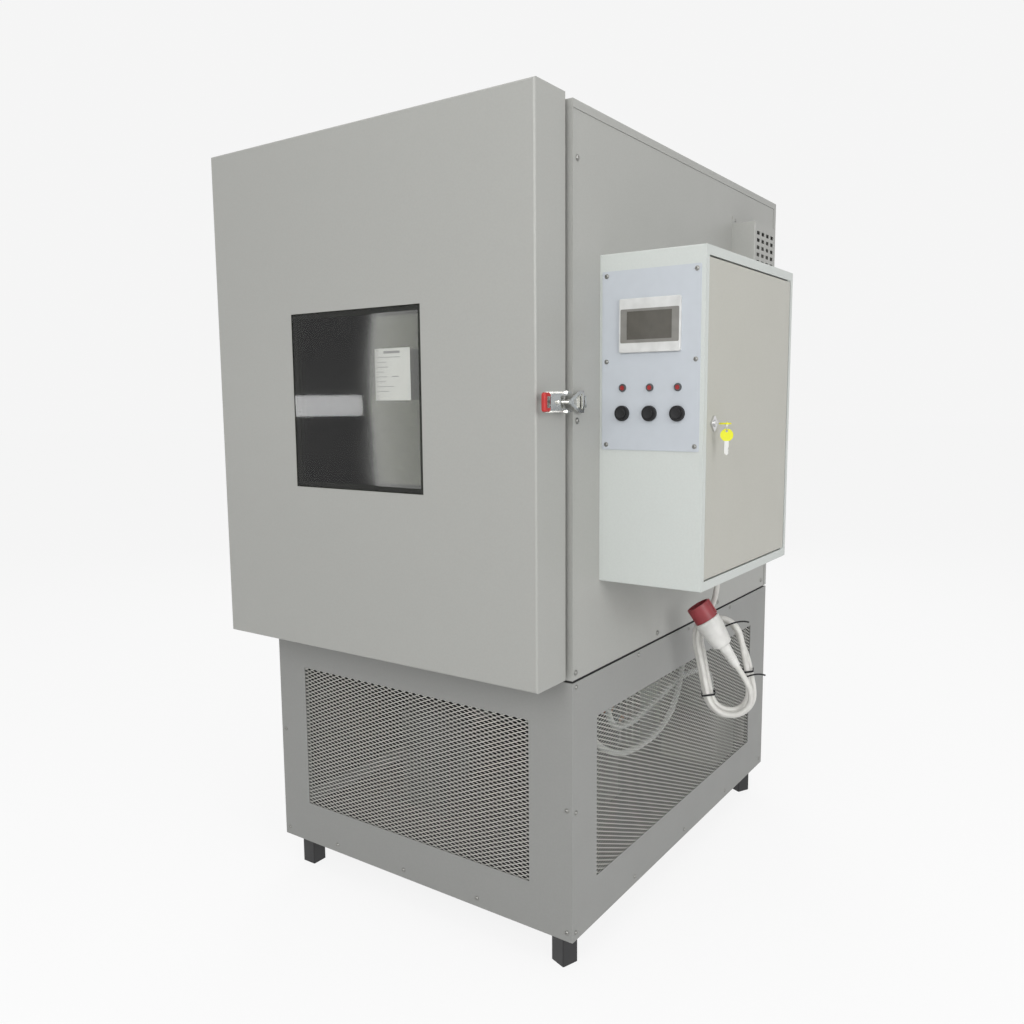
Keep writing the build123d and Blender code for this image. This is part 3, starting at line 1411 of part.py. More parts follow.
def tie(u, v, wide, thick, off):
    """Cable tie: a flat band round a rectangular bundle, standing across its long axis."""
    plane = hank_plane(u, v, off)
    plane = Plane(origin=plane.origin, x_dir=plane.x_dir, z_dir=plane.y_dir)
    with BuildSketch(plane.offset(-2.2)) as band:
        RectangleRounded(wide + 2.8, thick + 2.8, 6)
        RectangleRounded(wide + 0.4, thick + 0.4, 5, mode=Mode.SUBTRACT)
    extrude(band.sketch, amount=4.4)


# Cable ties round both sides of the hank
side_u = hank_w / 2 - hank_band / 2
with BuildPart() as cable_ties:
    tie(side_u, -18, hank_band, hank_thick, 0)
    tie(-side_u, -62, hank_band, hank_thick, 0)
save(cable_ties.part, "cable_ties")
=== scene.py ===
import math

import bmesh
import bpy
import numpy as np
from mathutils import Matrix, Vector


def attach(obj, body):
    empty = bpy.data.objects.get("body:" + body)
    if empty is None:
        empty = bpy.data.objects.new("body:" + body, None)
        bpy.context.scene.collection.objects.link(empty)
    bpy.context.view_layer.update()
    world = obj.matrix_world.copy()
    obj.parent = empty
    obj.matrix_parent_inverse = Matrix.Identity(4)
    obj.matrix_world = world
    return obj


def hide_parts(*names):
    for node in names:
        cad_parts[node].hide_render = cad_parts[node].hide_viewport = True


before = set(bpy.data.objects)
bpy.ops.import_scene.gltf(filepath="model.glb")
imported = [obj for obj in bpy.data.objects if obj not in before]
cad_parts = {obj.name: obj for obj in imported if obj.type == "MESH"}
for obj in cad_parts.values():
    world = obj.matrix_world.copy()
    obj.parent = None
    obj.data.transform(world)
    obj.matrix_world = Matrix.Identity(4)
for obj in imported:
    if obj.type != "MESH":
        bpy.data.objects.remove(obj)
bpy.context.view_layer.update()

# Places shared with the solids, in metres
SIDE = 0.31785
LEFT = SIDE - 0.865
FRONT = -0.5025
DOOR_FACE = FRONT - 0.1138
LATCH_Z = 1.1865
PLATE_Y = FRONT + 0.107 - 0.0015
CONTROL_X = (0.0508, 0.1096, 0.168)
GRILLE_LOW, GRILLE_HEIGHT = 0.170, 0.379
SIDE_GRILLE_Y, SIDE_GRILLE_LENGTH = FRONT + 0.087, 0.931
SHEET_IN = 0.0026


# Camera and light

def set_camera():
    """Camera at the viewing angle of the photograph: yaw, pitch and roll turned into three axes."""
    yaw, pitch, roll = (math.radians(a) for a in (-34.777, -7.105, -0.453))
    ahead = Vector((
        math.sin(yaw) * math.cos(pitch), math.cos(yaw) * math.cos(pitch), math.sin(pitch),
    ))
    level = Vector((math.cos(yaw), -math.sin(yaw), 0.0))
    upright = level.cross(ahead)
    across = level * math.cos(roll) + upright * math.sin(roll)
    above = upright * math.cos(roll) - level * math.sin(roll)
    lens = bpy.data.cameras.new("camera")
    lens.sensor_width = 36.0
    lens.lens = 31.53
    lens.clip_end = 200.0
    camera = bpy.data.objects.new("camera", lens)
    turn = Matrix((across, above, -ahead)).transposed().to_4x4()
    camera.matrix_world = Matrix.Translation((SIDE + 0.885, FRONT - 1.4804, 1.1905)) @ turn
    bpy.context.scene.collection.objects.link(camera)
    bpy.context.scene.camera = camera


def soft_lamp(name, place, aim, size, power, height=None):
    """Area lamp at a place, turned to its aim: square, or lower than it is wide."""
    data = bpy.data.lights.new(name, "AREA")
    data.shape = "RECTANGLE"
    data.size = size
    data.size_y = height or size
    data.energy = power
    lamp = bpy.data.objects.new(name, data)
    lamp.location = place
    lamp.rotation_euler = (Vector(aim) - Vector(place)).to_track_quat("-Z", "Y").to_euler()
    bpy.context.scene.collection.objects.link(lamp)


def backdrop_rays(nodes, links):
    """1 for rays that show the backdrop: straight from the camera, or by reflection or through glass."""
    path = nodes.new("ShaderNodeLightPath")
    both = nodes.new("ShaderNodeMath")
    both.operation = "MAXIMUM"
    every = nodes.new("ShaderNodeMath")
    every.operation = "MAXIMUM"
    links.new(path.outputs["Is Camera Ray"], both.inputs[0])
    links.new(path.outputs["Is Glossy Ray"], both.inputs[1])
    links.new(both.outputs[0], every.inputs[0])
    links.new(path.outputs["Is Transmission Ray"], every.inputs[1])
    return every.outputs[0]


def light_the_room():
    """Even pale world, soft lamps round the object and a narrow one for the glint in the window."""
    bpy.context.scene.view_settings.view_transform = "Standard"
    world = bpy.data.worlds.new("room")
    bpy.context.scene.world = world
    world.use_nodes = True
    nodes, links = world.node_tree.nodes, world.node_tree.links
    nodes.clear()
    out = nodes.new("ShaderNodeOutputWorld")
    mix = nodes.new("ShaderNodeMixShader")
    plain = nodes.new("ShaderNodeBackground")
    plain.inputs["Color"].default_value = (1.0, 1.0, 1.0, 1.0)
    plain.inputs["Strength"].default_value = 0.42
    seen = nodes.new("ShaderNodeBackground")
    seen.inputs["Color"].default_value = (0.915, 0.915, 0.915, 1.0)
    seen.inputs["Strength"].default_value = 1.0
    links.new(backdrop_rays(nodes, links), mix.inputs["Fac"])
    links.new(plain.outputs["Background"], mix.inputs[1])
    links.new(seen.outputs["Background"], mix.inputs[2])
    links.new(mix.outputs["Shader"], out.inputs["Surface"])
    soft_lamp("lamp_front", (0.9, -3.6, 2.4), (0.1, -0.4, 1.0), 2.0, 54)
    soft_lamp("lamp_right", (3.6, -1.7, 2.1), (0.3, 0.0, 1.0), 2.0, 62)
    soft_lamp("lamp_top", (0.4, -0.6, 4.2), (0.0, 0.0, 1.0), 2.6, 40)
    soft_lamp("lamp_back", (-2.4, 3.4, 2.6), (0.0, 0.3, 1.0), 2.2, 44)
    soft_lamp("lamp_glint", (-2.13, -2.38, 1.17), (-0.2527, -0.615, 1.18), 0.42, 1.3, 0.10)


def lay_floor():
    """Wide round floor that keeps the object's shadow under the pale backdrop."""
    corners, radius = 96, 40.0
    ring = np.linspace(0, 2 * np.pi, corners + 1)[:-1]
    rim = np.stack([radius * np.cos(ring), radius * np.sin(ring), np.zeros(corners)], axis=1)
    mesh = bpy.data.meshes.new("floor")
    mesh.from_pydata(rim.tolist(), [], [list(range(corners))])
    floor = bpy.data.objects.new("floor", mesh)
    bpy.context.scene.collection.objects.link(floor)
    mat = bpy.data.materials.new("pale_floor")
    mat.use_nodes = True
    nodes, links = mat.node_tree.nodes, mat.node_tree.links
    nodes.clear()
    out = nodes.new("ShaderNodeOutputMaterial")
    mix = nodes.new("ShaderNodeMixShader")
    glow = nodes.new("ShaderNodeEmission")
    glow.inputs["Color"].default_value = (0.99, 0.99, 0.99, 1.0)
    matt = nodes.new("ShaderNodeBsdfDiffuse")
    matt.inputs["Color"].default_value = (0.82, 0.82, 0.82, 1.0)
    part = nodes.new("ShaderNodeMath")
    part.operation = "MULTIPLY"
    part.inputs[1].default_value = 0.88
    links.new(backdrop_rays(nodes, links), part.inputs[0])
    links.new(part.outputs[0], mix.inputs["Fac"])
    links.new(matt.outputs[0], mix.inputs[1])
    links.new(glow.outputs[0], mix.inputs[2])
    links.new(mix.outputs[0], out.inputs["Surface"])
    mesh.materials.append(mat)


set_camera()
light_the_room()
lay_floor()


# Finishes

def finish(name, colour, rough, metal=0.0):
    """Plain start of a finish: its principled shader with constants on the shader's own sockets."""
    mat = bpy.data.materials.new(name)
    mat.use_nodes = True
    shader = mat.node_tree.nodes["Principled BSDF"]
    shader.inputs["Base Color"].default_value = (*colour, 1.0)
    shader.inputs["Roughness"].default_value = rough
    shader.inputs["Metallic"].default_value = metal
    mat.diffuse_color = (*colour, 1.0)
    return mat, shader


def grain(mat, stretch=(1.0, 1.0, 1.0)):
    """Object coordinates in metres, stretched along the axes that the grain follows."""
    nodes, links = mat.node_tree.nodes, mat.node_tree.links
    place = nodes.new("ShaderNodeTexCoord")
    mapping = nodes.new("ShaderNodeMapping")
    mapping.inputs["Scale"].default_value = stretch
    links.new(place.outputs["Object"], mapping.inputs["Vector"])
    return mapping.outputs["Vector"]


def clouds(mat, vector, scale, detail=2.0):
    """Soft random pattern on the given coordinates."""
    node = mat.node_tree.nodes.new("ShaderNodeTexNoise")
    node.inputs["Scale"].default_value = scale
    node.inputs["Detail"].default_value = detail
    mat.node_tree.links.new(vector, node.inputs["Vector"])
    return node.outputs["Fac"]


def relief(mat, shader, height, strength, depth):
    """Bump from a height pattern, in metres of depth."""
    bump = mat.node_tree.nodes.new("ShaderNodeBump")
    bump.inputs["Strength"].default_value = strength
    bump.inputs["Distance"].default_value = depth
    mat.node_tree.links.new(height, bump.inputs["Height"])
    mat.node_tree.links.new(bump.outputs["Normal"], shader.inputs["Normal"])


def tint(mat, shader, factor, dark, light, low=0.35, high=0.65):
    """Colour between a dark and a light tone by a pattern."""
    ramp = mat.node_tree.nodes.new("ShaderNodeValToRGB")
    ramp.color_ramp.elements[0].position = low
    ramp.color_ramp.elements[1].position = high
    ramp.color_ramp.elements[0].color = (*dark, 1.0)
    ramp.color_ramp.elements[1].color = (*light, 1.0)
    mat.node_tree.links.new(factor, ramp.inputs["Fac"])
    mat.node_tree.links.new(ramp.outputs["Color"], shader.inputs["Base Color"])


def sheen_range(mat, shader, factor, low, high):
    """Roughness between two values by a pattern."""
    span = mat.node_tree.nodes.new("ShaderNodeMapRange")
    span.inputs["To Min"].default_value = low
    span.inputs["To Max"].default_value = high
    mat.node_tree.links.new(factor, span.inputs["Value"])
    mat.node_tree.links.new(span.outputs["Result"], shader.inputs["Roughness"])


def scaled(colour, share):
    return tuple(c * share for c in colour)


def paint(name, colour, rough=0.42, orange_peel=0.12, mottle=0.014):
    """Stoved hammer paint: fine orange peel in the relief, faint mottling and uneven gloss."""
    mat, shader = finish(name, colour, rough)
    where = grain(mat)
    peel = clouds(mat, where, 420.0, 3.0)
    relief(mat, shader, peel, orange_peel, 0.0006)
    tint(mat, shader, clouds(mat, where, 260.0, 4.0),
         scaled(colour, 1 - mottle), scaled(colour, 1 + mottle), 0.38, 0.62)
    sheen_range(mat, shader, clouds(mat, where, 9.0), rough - 0.06, rough + 0.08)
    return mat


def brushed(name, colour, rough=0.32, stretch=(1.0, 1.0, 60.0)):
    """Drawn or plated metal: fine lines along one axis in relief and gloss."""
    mat, shader = finish(name, colour, rough, 1.0)
    where = grain(mat, stretch)
    lines = clouds(mat, where, 90.0, 4.0)
    relief(mat, shader, lines, 0.12, 0.0003)
    sheen_range(mat, shader, lines, rough - 0.1, rough + 0.14)
    tint(mat, shader, clouds(mat, grain(mat), 30.0), scaled(colour, 0.9), colour)
    return mat


def moulded(name, colour, rough=0.45, fine=700.0, depth=0.0002, uneven=0.07, gloss=0.5):
    """Moulded plastic or rubber: a fine matt grain with slight unevenness."""
    mat, shader = finish(name, colour, rough)
    shader.inputs["Specular IOR Level"].default_value = gloss
    where = grain(mat)
    relief(mat, shader, clouds(mat, where, fine, 3.0), 0.3, depth)
    tint(mat, shader, clouds(mat, where, 40.0), scaled(colour, 1 - uneven), scaled(colour, 1 + uneven))
    sheen_range(mat, shader, clouds(mat, where, 60.0), rough - 0.08, rough + 0.1)
    return mat


def clear(name, colour, rough, through, ior=1.45):
    """Glass or translucent plastic with faint smears in its gloss."""
    mat, shader = finish(name, colour, rough)
    shader.inputs["Transmission Weight"].default_value = through
    shader.inputs["IOR"].default_value = ior
    smear = clouds(mat, grain(mat), 14.0, 5.0)
    sheen_range(mat, shader, smear, max(0.0, rough - 0.02), rough + 0.03)
    return mat


def window_glass(name, veil_colour):
    """Pane: clear with a tint, and a mirror reflection that grows at grazing angles."""
    mat, _ = finish(name, veil_colour, 0.03)
    nodes, links = mat.node_tree.nodes, mat.node_tree.links
    out = nodes["Material Output"]
    veil = nodes.new("ShaderNodeBsdfTransparent")
    veil.inputs["Color"].default_value = (*veil_colour, 1.0)
    mirror = nodes.new("ShaderNodeBsdfGlossy")
    mirror.inputs["Roughness"].default_value = 0.03
    edge = nodes.new("ShaderNodeFresnel")
    edge.inputs["IOR"].default_value = 1.45
    mix = nodes.new("ShaderNodeMixShader")
    links.new(edge.outputs[0], mix.inputs["Fac"])
    links.new(veil.outputs[0], mix.inputs[1])
    links.new(mirror.outputs[0], mix.inputs[2])
    smear = clouds(mat, grain(mat), 11.0, 4.0)
    span = nodes.new("ShaderNodeMapRange")
    span.inputs["To Min"].default_value = 0.015
    span.inputs["To Max"].default_value = 0.06
    links.new(smear, span.inputs["Value"])
    links.new(span.outputs["Result"], mirror.inputs["Roughness"])
    links.new(mix.outputs[0], out.inputs["Surface"])
    return mat


def capped_key(name, cap_colour, low_x, low_z):
    """Key with a moulded cap: bare steel where x or z lies below the cap's edge."""
    mat, shader = finish(name, cap_colour, 0.35)
    nodes, links = mat.node_tree.nodes, mat.node_tree.links
    axes = nodes.new("ShaderNodeSeparateXYZ")
    links.new(grain(mat), axes.inputs[0])
    either = nodes.new("ShaderNodeMath")
    either.operation = "MAXIMUM"
    for slot, (axis, limit) in enumerate((("X", low_x), ("Z", low_z))):
        below = nodes.new("ShaderNodeMath")
        below.operation = "LESS_THAN"
        below.inputs[1].default_value = limit
        links.new(axes.outputs[axis], below.inputs[0])
        links.new(below.outputs[0], either.inputs[slot])
    tint(mat, shader, either.outputs[0], cap_colour, (0.60, 0.60, 0.58))
    links.new(either.outputs[0], shader.inputs["Metallic"])
    relief(mat, shader, clouds(mat, grain(mat), 600.0, 3.0), 0.25, 0.0002)
    return mat


BODY = (0.350, 0.352, 0.333)
body_paint = paint("body_paint", BODY, 0.40)
base_paint = paint("base_paint", (0.265, 0.267, 0.257), 0.45)
cabinet_paint = paint("cabinet_paint", (0.525, 0.552, 0.530), 0.38)
# The cabinet door is a darker, less green copy of the cabinet's paint: painted shade on the door, which
# faces the side
cabinet_door_shaded_paint = paint("cabinet_door_shaded_paint", (0.425, 0.420, 0.375), 0.38)
grille_paint = paint("grille_paint", (0.47, 0.47, 0.44), 0.42, 0.2, 0.05)
plate_finish = moulded("plate_finish", (0.465, 0.495, 0.530), 0.42, 900.0, 0.00008, 0.012)
frame_paint = paint("frame_paint", (0.035, 0.035, 0.036), 0.5, 0.2, 0.1)
foot_finish = moulded("foot_finish", (0.012, 0.012, 0.013), 0.42)
inner_steel = brushed("inner_steel", (0.48, 0.48, 0.45), 0.36)
plated_steel = brushed("plated_steel", (0.70, 0.70, 0.67), 0.22, (1.0, 1.0, 1.0))
screw_steel = brushed("screw_steel", (0.30, 0.30, 0.285), 0.34, (1.0, 1.0, 1.0))
# The aluminium spacers of the window are near black here: painted shade of the spacers lying between the
# panes
shaded_spacer_metal = brushed("shaded_spacer_metal", (0.03, 0.032, 0.026), 0.5, (1.0, 1.0, 1.0))
bright_chrome = brushed("bright_chrome", (0.72, 0.72, 0.72), 0.14, (1.0, 1.0, 1.0))
fin_aluminium = brushed("fin_aluminium", (0.66, 0.66, 0.67), 0.34)
line_copper = brushed("line_copper", (0.62, 0.33, 0.20), 0.32, (1.0, 1.0, 1.0))
mat_wool = moulded("mat_wool", (0.70, 0.62, 0.40), 0.9, 260.0, 0.002)
door_seal = moulded("door_seal", (0.40, 0.40, 0.44), 0.6)
black_moulding = moulded("black_moulding", (0.014, 0.014, 0.015), 0.45, gloss=0.3)
tank_moulding = moulded("tank_moulding", (0.23, 0.23, 0.21), 0.4)
# Near-black felt for the sheet behind the left grille: painted shade of the inside seen through the grilles
shade_felt = moulded("shade_felt", (0.05, 0.05, 0.05), 0.95, 300.0, 0.001, gloss=0.1)
bezel_grey = moulded("bezel_grey", (0.57, 0.575, 0.565), 0.42)
ring_grey = moulded("ring_grey", (0.06, 0.06, 0.062), 0.3)
rule_grey = moulded("rule_grey", (0.30, 0.30, 0.31), 0.7)
screen_edge = moulded("screen_edge", (0.20, 0.195, 0.18), 0.2, 60.0, 0.00001)
dim_screen = moulded("dim_screen", (0.085, 0.080, 0.068), 0.14, 60.0, 0.00001)
red_moulding = moulded("red_moulding", (0.42, 0.018, 0.016), 0.32)
lamp_red = moulded("lamp_red", (0.30, 0.02, 0.02), 0.25)
plug_red = moulded("plug_red", (0.27, 0.035, 0.042), 0.42)
cord_sheath = moulded("cord_sheath", (0.64, 0.63, 0.60), 0.42, 500.0, 0.0001)
plug_shell = moulded("plug_shell", (0.66, 0.655, 0.63), 0.4)
key_capped = capped_key("key_capped", (0.66, 0.66, 0.02), SIDE + 0.2335, 1.1417)
spare_capped = capped_key("spare_capped", (0.66, 0.66, 0.02), -10.0, 1.111)
hose_clear = clear("hose_clear", (0.78, 0.80, 0.78), 0.3, 0.35)
lamp_glass = clear("lamp_glass", (0.9, 0.9, 0.85), 0.2, 0.7)
paper = moulded("paper", (0.80, 0.80, 0.79), 0.8, 400.0, 0.00005, 0.02)
pane = window_glass("front_pane", (0.985, 0.99, 0.975))
# The deep tint of the panes behind the front one is mostly painted shade of the dark chamber behind the
# window
shade_tinted_pane = window_glass("shade_tinted_pane", (0.80, 0.818, 0.71))

NODE_FINISH = {
    body_paint: "side_panels top_lid rear_panels front_frame door_skin vent_cover",
    base_paint: "skirt_panels",
    cabinet_paint: "cabinet_shell",
    cabinet_door_shaded_paint: "cabinet_door",
    plate_finish: "panel_plate",
    frame_paint: "base_frame deck compressor fan_motor",
    foot_finish: "feet",
    inner_steel: "liner shelves air_baffle heater door_liner",
    plated_steel: "body_hinges door_hinges latch_base latch_lever latch_bail latch_keeper mounting_plate",
    bright_chrome: "lock_cylinder lock_housing",
    shaded_spacer_metal: "window_frame",
    fin_aluminium: "condenser evaporator circulation_fan condenser_fan",
    line_copper: "refrigerant_lines",
    mat_wool: "insulation door_insulation",
    door_seal: "door_gasket",
    black_moulding: "switchgear cable_gland cable_ties button_collars button_1 button_2 button_3",
    tank_moulding: "drain_tank",
    bezel_grey: "touch_panel",
    dim_screen: "touch_screen",
    red_moulding: "latch_grip",
    lamp_red: "indicators",
    plug_red: "plug_collar",
    plug_shell: "plug_body",
    cord_sheath: "supply_cord cord_coil",
    key_capped: "key",
    spare_capped: "spare_key",
    hose_clear: "drain_hoses",
    lamp_glass: "chamber_lamp",
    pane: "window_panes",
    grille_paint: "base_grilles",
}
for mat, names in NODE_FINISH.items():
    for node_name in names.split():
        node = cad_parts[node_name]
        node.data.materials.clear()
        node.data.materials.append(mat)


def second_finish(node_name, mat, choose):
    """A second finish on those triangles of a node whose centres the test chooses."""
    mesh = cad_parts[node_name].data
    centres = np.empty(len(mesh.polygons) * 3)
    mesh.polygons.foreach_get("center", centres)
    mesh.materials.append(mat)
    mesh.polygons.foreach_set("material_index", choose(centres.reshape(-1, 3)).astype(np.int32))


# The liquid receiver is painted black, its lines are bare copper
second_finish("refrigerant_lines", frame_paint, lambda p: (
    (np.hypot(p[:, 0] - SIDE + 0.250, p[:, 1] - FRONT - 0.560) < 0.070) & (p[:, 2] < 0.3655)
))
# The front pane is clear; those behind it carry a tint, partly the glass's own olive and mostly painted
# shade that darkens the chamber seen through the window
second_finish("window_panes", shade_tinted_pane, lambda p: p[:, 1] > DOOR_FACE + 0.008)


# Pieces

def piece(name, points, faces, mat, body, slot, smooth=False):
    """A mesh piece at the origin, riding on a body. The sign of the volume that the faces enclose
    says which way they point, and points in one place are merged, which closes seams and poles."""
    points = np.asarray(points, dtype=float).reshape(-1, 3)
    faces = np.asarray(faces)
    local = points - points.mean(axis=0)
    volume = sum(
        np.sum(local[faces[:, 0]] * np.cross(local[faces[:, k]], local[faces[:, k + 1]]))
        for k in range(1, faces.shape[1] - 1)
    )
    if volume < 0:
        faces = faces[:, ::-1]
    mesh = bpy.data.meshes.new(name)
    mesh.from_pydata(points.tolist(), [], faces.tolist())
    if len(faces) < 20000:
        shell = bmesh.new()
        shell.from_mesh(mesh)
        bmesh.ops.remove_doubles(shell, verts=shell.verts, dist=2e-6)
        shell.to_mesh(mesh)
        shell.free()
    mesh.materials.append(mat)
    if smooth:
        mesh.polygons.foreach_set("use_smooth", np.ones(len(mesh.polygons), dtype=bool))
        mesh.set_sharp_from_angle(angle=math.radians(38))
    mesh.update()
    thing = bpy.data.objects.new(name, mesh)
    bpy.context.scene.collection.objects.link(thing)
    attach(thing, body)
    return thing


def grid_faces(rows, cols, first=0):
    """Quads of a grid of rows by cols points whose columns close on themselves."""
    r, c = np.meshgrid(np.arange(rows - 1), np.arange(cols), indexing="ij")
    a = first + r * cols + c
    b = first + r * cols + (c + 1) % cols
    return np.stack([a, b, b + cols, a + cols], axis=-1).reshape(-1, 4)


def turned(profile, centre, axis, segments=20):
    """Points and quads of a turned form: radius and height pairs of the profile swept round the axis,
    with point = centre + axis * height + radius * (cosine across + sine upward)."""
    profile = np.asarray(profile, dtype=float)
    axis = np.asarray(axis, dtype=float) / np.linalg.norm(axis)
    helper = np.array([0.0, 0.0, 1.0]) if abs(axis[2]) < 0.9 else np.array([1.0, 0.0, 0.0])
    across = np.cross(helper, axis)
    across /= np.linalg.norm(across)
    upward = np.cross(axis, across)
    turn = np.linspace(0, 2 * np.pi, segments + 1)[:-1]
    rim = np.cos(turn)[:, None] * across + np.sin(turn)[:, None] * upward
    points = (
        np.asarray(centre, dtype=float) + profile[:, 1][:, None, None] * axis
        + profile[:, 0][:, None, None] * rim[None]
    )
    return points.reshape(-1, 3), grid_faces(len(profile), segments)


def gather(parts):
    """Joins several sets of points and faces into one."""
    points, faces, first = [], [], 0
    for p, f in parts:
        points.append(np.asarray(p, dtype=float).reshape(-1, 3))
        faces.append(np.asarray(f) + first)
        first += len(points[-1])
    return np.concatenate(points), np.concatenate(faces)


def box(x0, x1, y0, y1, z0, z1):
    """Eight corners and six quads of a box between the given limits."""
    points = np.array([(x, y, z) for x in (x0, x1) for y in (y0, y1) for z in (z0, z1)])
    faces = np.array([
        (0, 1, 3, 2), (4, 6, 7, 5), (0, 4, 5, 1), (2, 3, 7, 6), (0, 2, 6, 4), (1, 5, 7, 3),
    ])
    return points, faces


def pan_screw(centre, axis, radius=0.0048):
    """Pan-head screw: a domed profile with a sunk round socket, turned about its axis."""
    r = radius
    profile = [
        (0.0, -0.0003), (r * 1.4, -0.0003), (r * 1.4, 0.0004), (r * 1.02, 0.0005), (r, r * 0.25),
        (r * 0.82, r * 0.5), (r * 0.5, r * 0.62), (r * 0.42, r * 0.62), (r * 0.3, r * 0.3), (0.0, r * 0.28),
    ]
    return turned(profile, centre, axis, 14)


def fasten(name, spots, axis, body, radius=0.0048):
    """One piece that holds all the screws of one panel."""
    screws = gather([pan_screw(p, axis, radius) for p in spots])
    piece(name, *screws, screw_steel, body, "latch_zinc", smooth=True)


right_face = SIDE - 0.001
fasten("screws_side_panel", [
    (right_face, FRONT + y, z) for y, z in (
        (0.018, 1.637), (0.0136, 0.6506), (0.386, 0.650), (0.752, 0.653), (0.018, 1.15),
        (1.085, 0.655), (1.085, 1.65),
    )
], (1, 0, 0), "chassis")
fasten("screws_left_panel", [
    (LEFT + 0.001, FRONT + y, z) for y, z in (
        (0.14, 1.637), (0.14, 0.655), (0.6, 0.655), (1.05, 0.655), (1.05, 1.65),
    )
], (-1, 0, 0), "chassis")
fasten("screws_base_right", [
    (SIDE, FRONT + y, z) for y, z in (
        (0.014, 0.621), (0.2886, 0.621), (0.564, 0.621), (0.84, 0.621), (0.014, 0.357),
        (0.014, 0.097), (0.28, 0.097), (0.556, 0.097), (0.832, 0.097), (1.108, 0.097),
    )
], (1, 0, 0), "chassis", 0.0042)
fasten("screws_base_left", [
    (LEFT, FRONT + y, z) for y, z in (
        (0.2886, 0.621), (0.564, 0.621), (0.84, 0.621), (0.28, 0.097), (0.556, 0.097), (0.832, 0.097),
    )
], (-1, 0, 0), "chassis", 0.0042)
fasten("screws_base_front", [
    (SIDE + x, FRONT, z) for x, z in (
        (-0.851, 0.363), (-0.851, 0.099), (-0.678, 0.099), (-0.461, 0.099), (-0.246, 0.099),
        (-0.014, 0.099), (-0.014, 0.363),
    )
], (0, -1, 0), "chassis", 0.0042)
fasten("screws_operator_plate", [
    (SIDE + x, PLATE_Y, z) for x in (0.0145, 0.203) for z in (1.429, 1.264, 1.101)
], (0, -1, 0), "chassis", 0.0034)
fasten("screws_vent_cover", [
    (right_face + 0.0015, FRONT + y, z) for y in (0.815, 0.93) for z in (1.646, 1.477)
], (1, 0, 0), "chassis", 0.003)
fasten("screws_rear_rim", [
    (LEFT, FRONT + 1.1185, z) for z in (0.68, 0.93, 1.18, 1.43, 1.68)
], (-1, 0, 0), "chassis", 0.0040)


def rivet_heads():
    """Domed rivet heads of the draw latch, turned about X and Z."""
    dome = [
        (0.0, -0.0004), (0.0042, -0.0004), (0.0042, 0.0), (0.0041, 0.0008), (0.0032, 0.0019),
        (0.0016, 0.0025), (0.0, 0.0027),
    ]
    lever = turned(dome, (SIDE + 0.018, FRONT - 0.080, LATCH_Z), (1, 0, 0), 16)
    base = gather([
        turned(dome, (SIDE + 0.0125, FRONT - 0.045, LATCH_Z + 0.019), (0, 0, 1), 16),
        turned(dome, (SIDE + 0.0125, FRONT - 0.045, LATCH_Z - 0.019), (0, 0, -1), 16),
        turned(dome, (SIDE - 0.0067, FRONT - 0.085, LATCH_Z + 0.011), (1, 0, 0), 14),
        turned(dome, (SIDE - 0.0067, FRONT - 0.085, LATCH_Z - 0.011), (1, 0, 0), 14),
    ])
    keeper = gather([
        turned(dome, (SIDE + 0.001, FRONT + 0.0115, LATCH_Z + 0.012), (1, 0, 0), 12),
        turned(dome, (SIDE + 0.001, FRONT + 0.0115, LATCH_Z - 0.012), (1, 0, 0), 12),
    ])
    piece("latch_lever_rivet", *lever, plated_steel, "latch_lever", "latch_zinc", True)
    piece("latch_base_rivets", *base, plated_steel, "door", "latch_zinc", True)
    piece("latch_keeper_rivets", *keeper, plated_steel, "chassis", "latch_zinc", True)


rivet_heads()


def stem_thread():
    """Screw thread of the bail's stem: radius rises and falls along the stem as a wave of 1 mm pitch."""
    along = np.linspace(FRONT - 0.0555, FRONT - 0.0305, 76)
    wave = 0.00315 + 0.00022 * np.cos((along - along[0]) * 2 * np.pi / 0.001)
    profile = np.stack([np.pad(wave, 1), np.pad(along - along[0], 1, mode="edge")], axis=1)
    points, faces = turned(profile, (SIDE + 0.006, along[0], LATCH_Z), (0, 1, 0), 16)
    piece("bail_thread", points, faces, plated_steel, "latch_bail", "latch_zinc", True)


stem_thread()


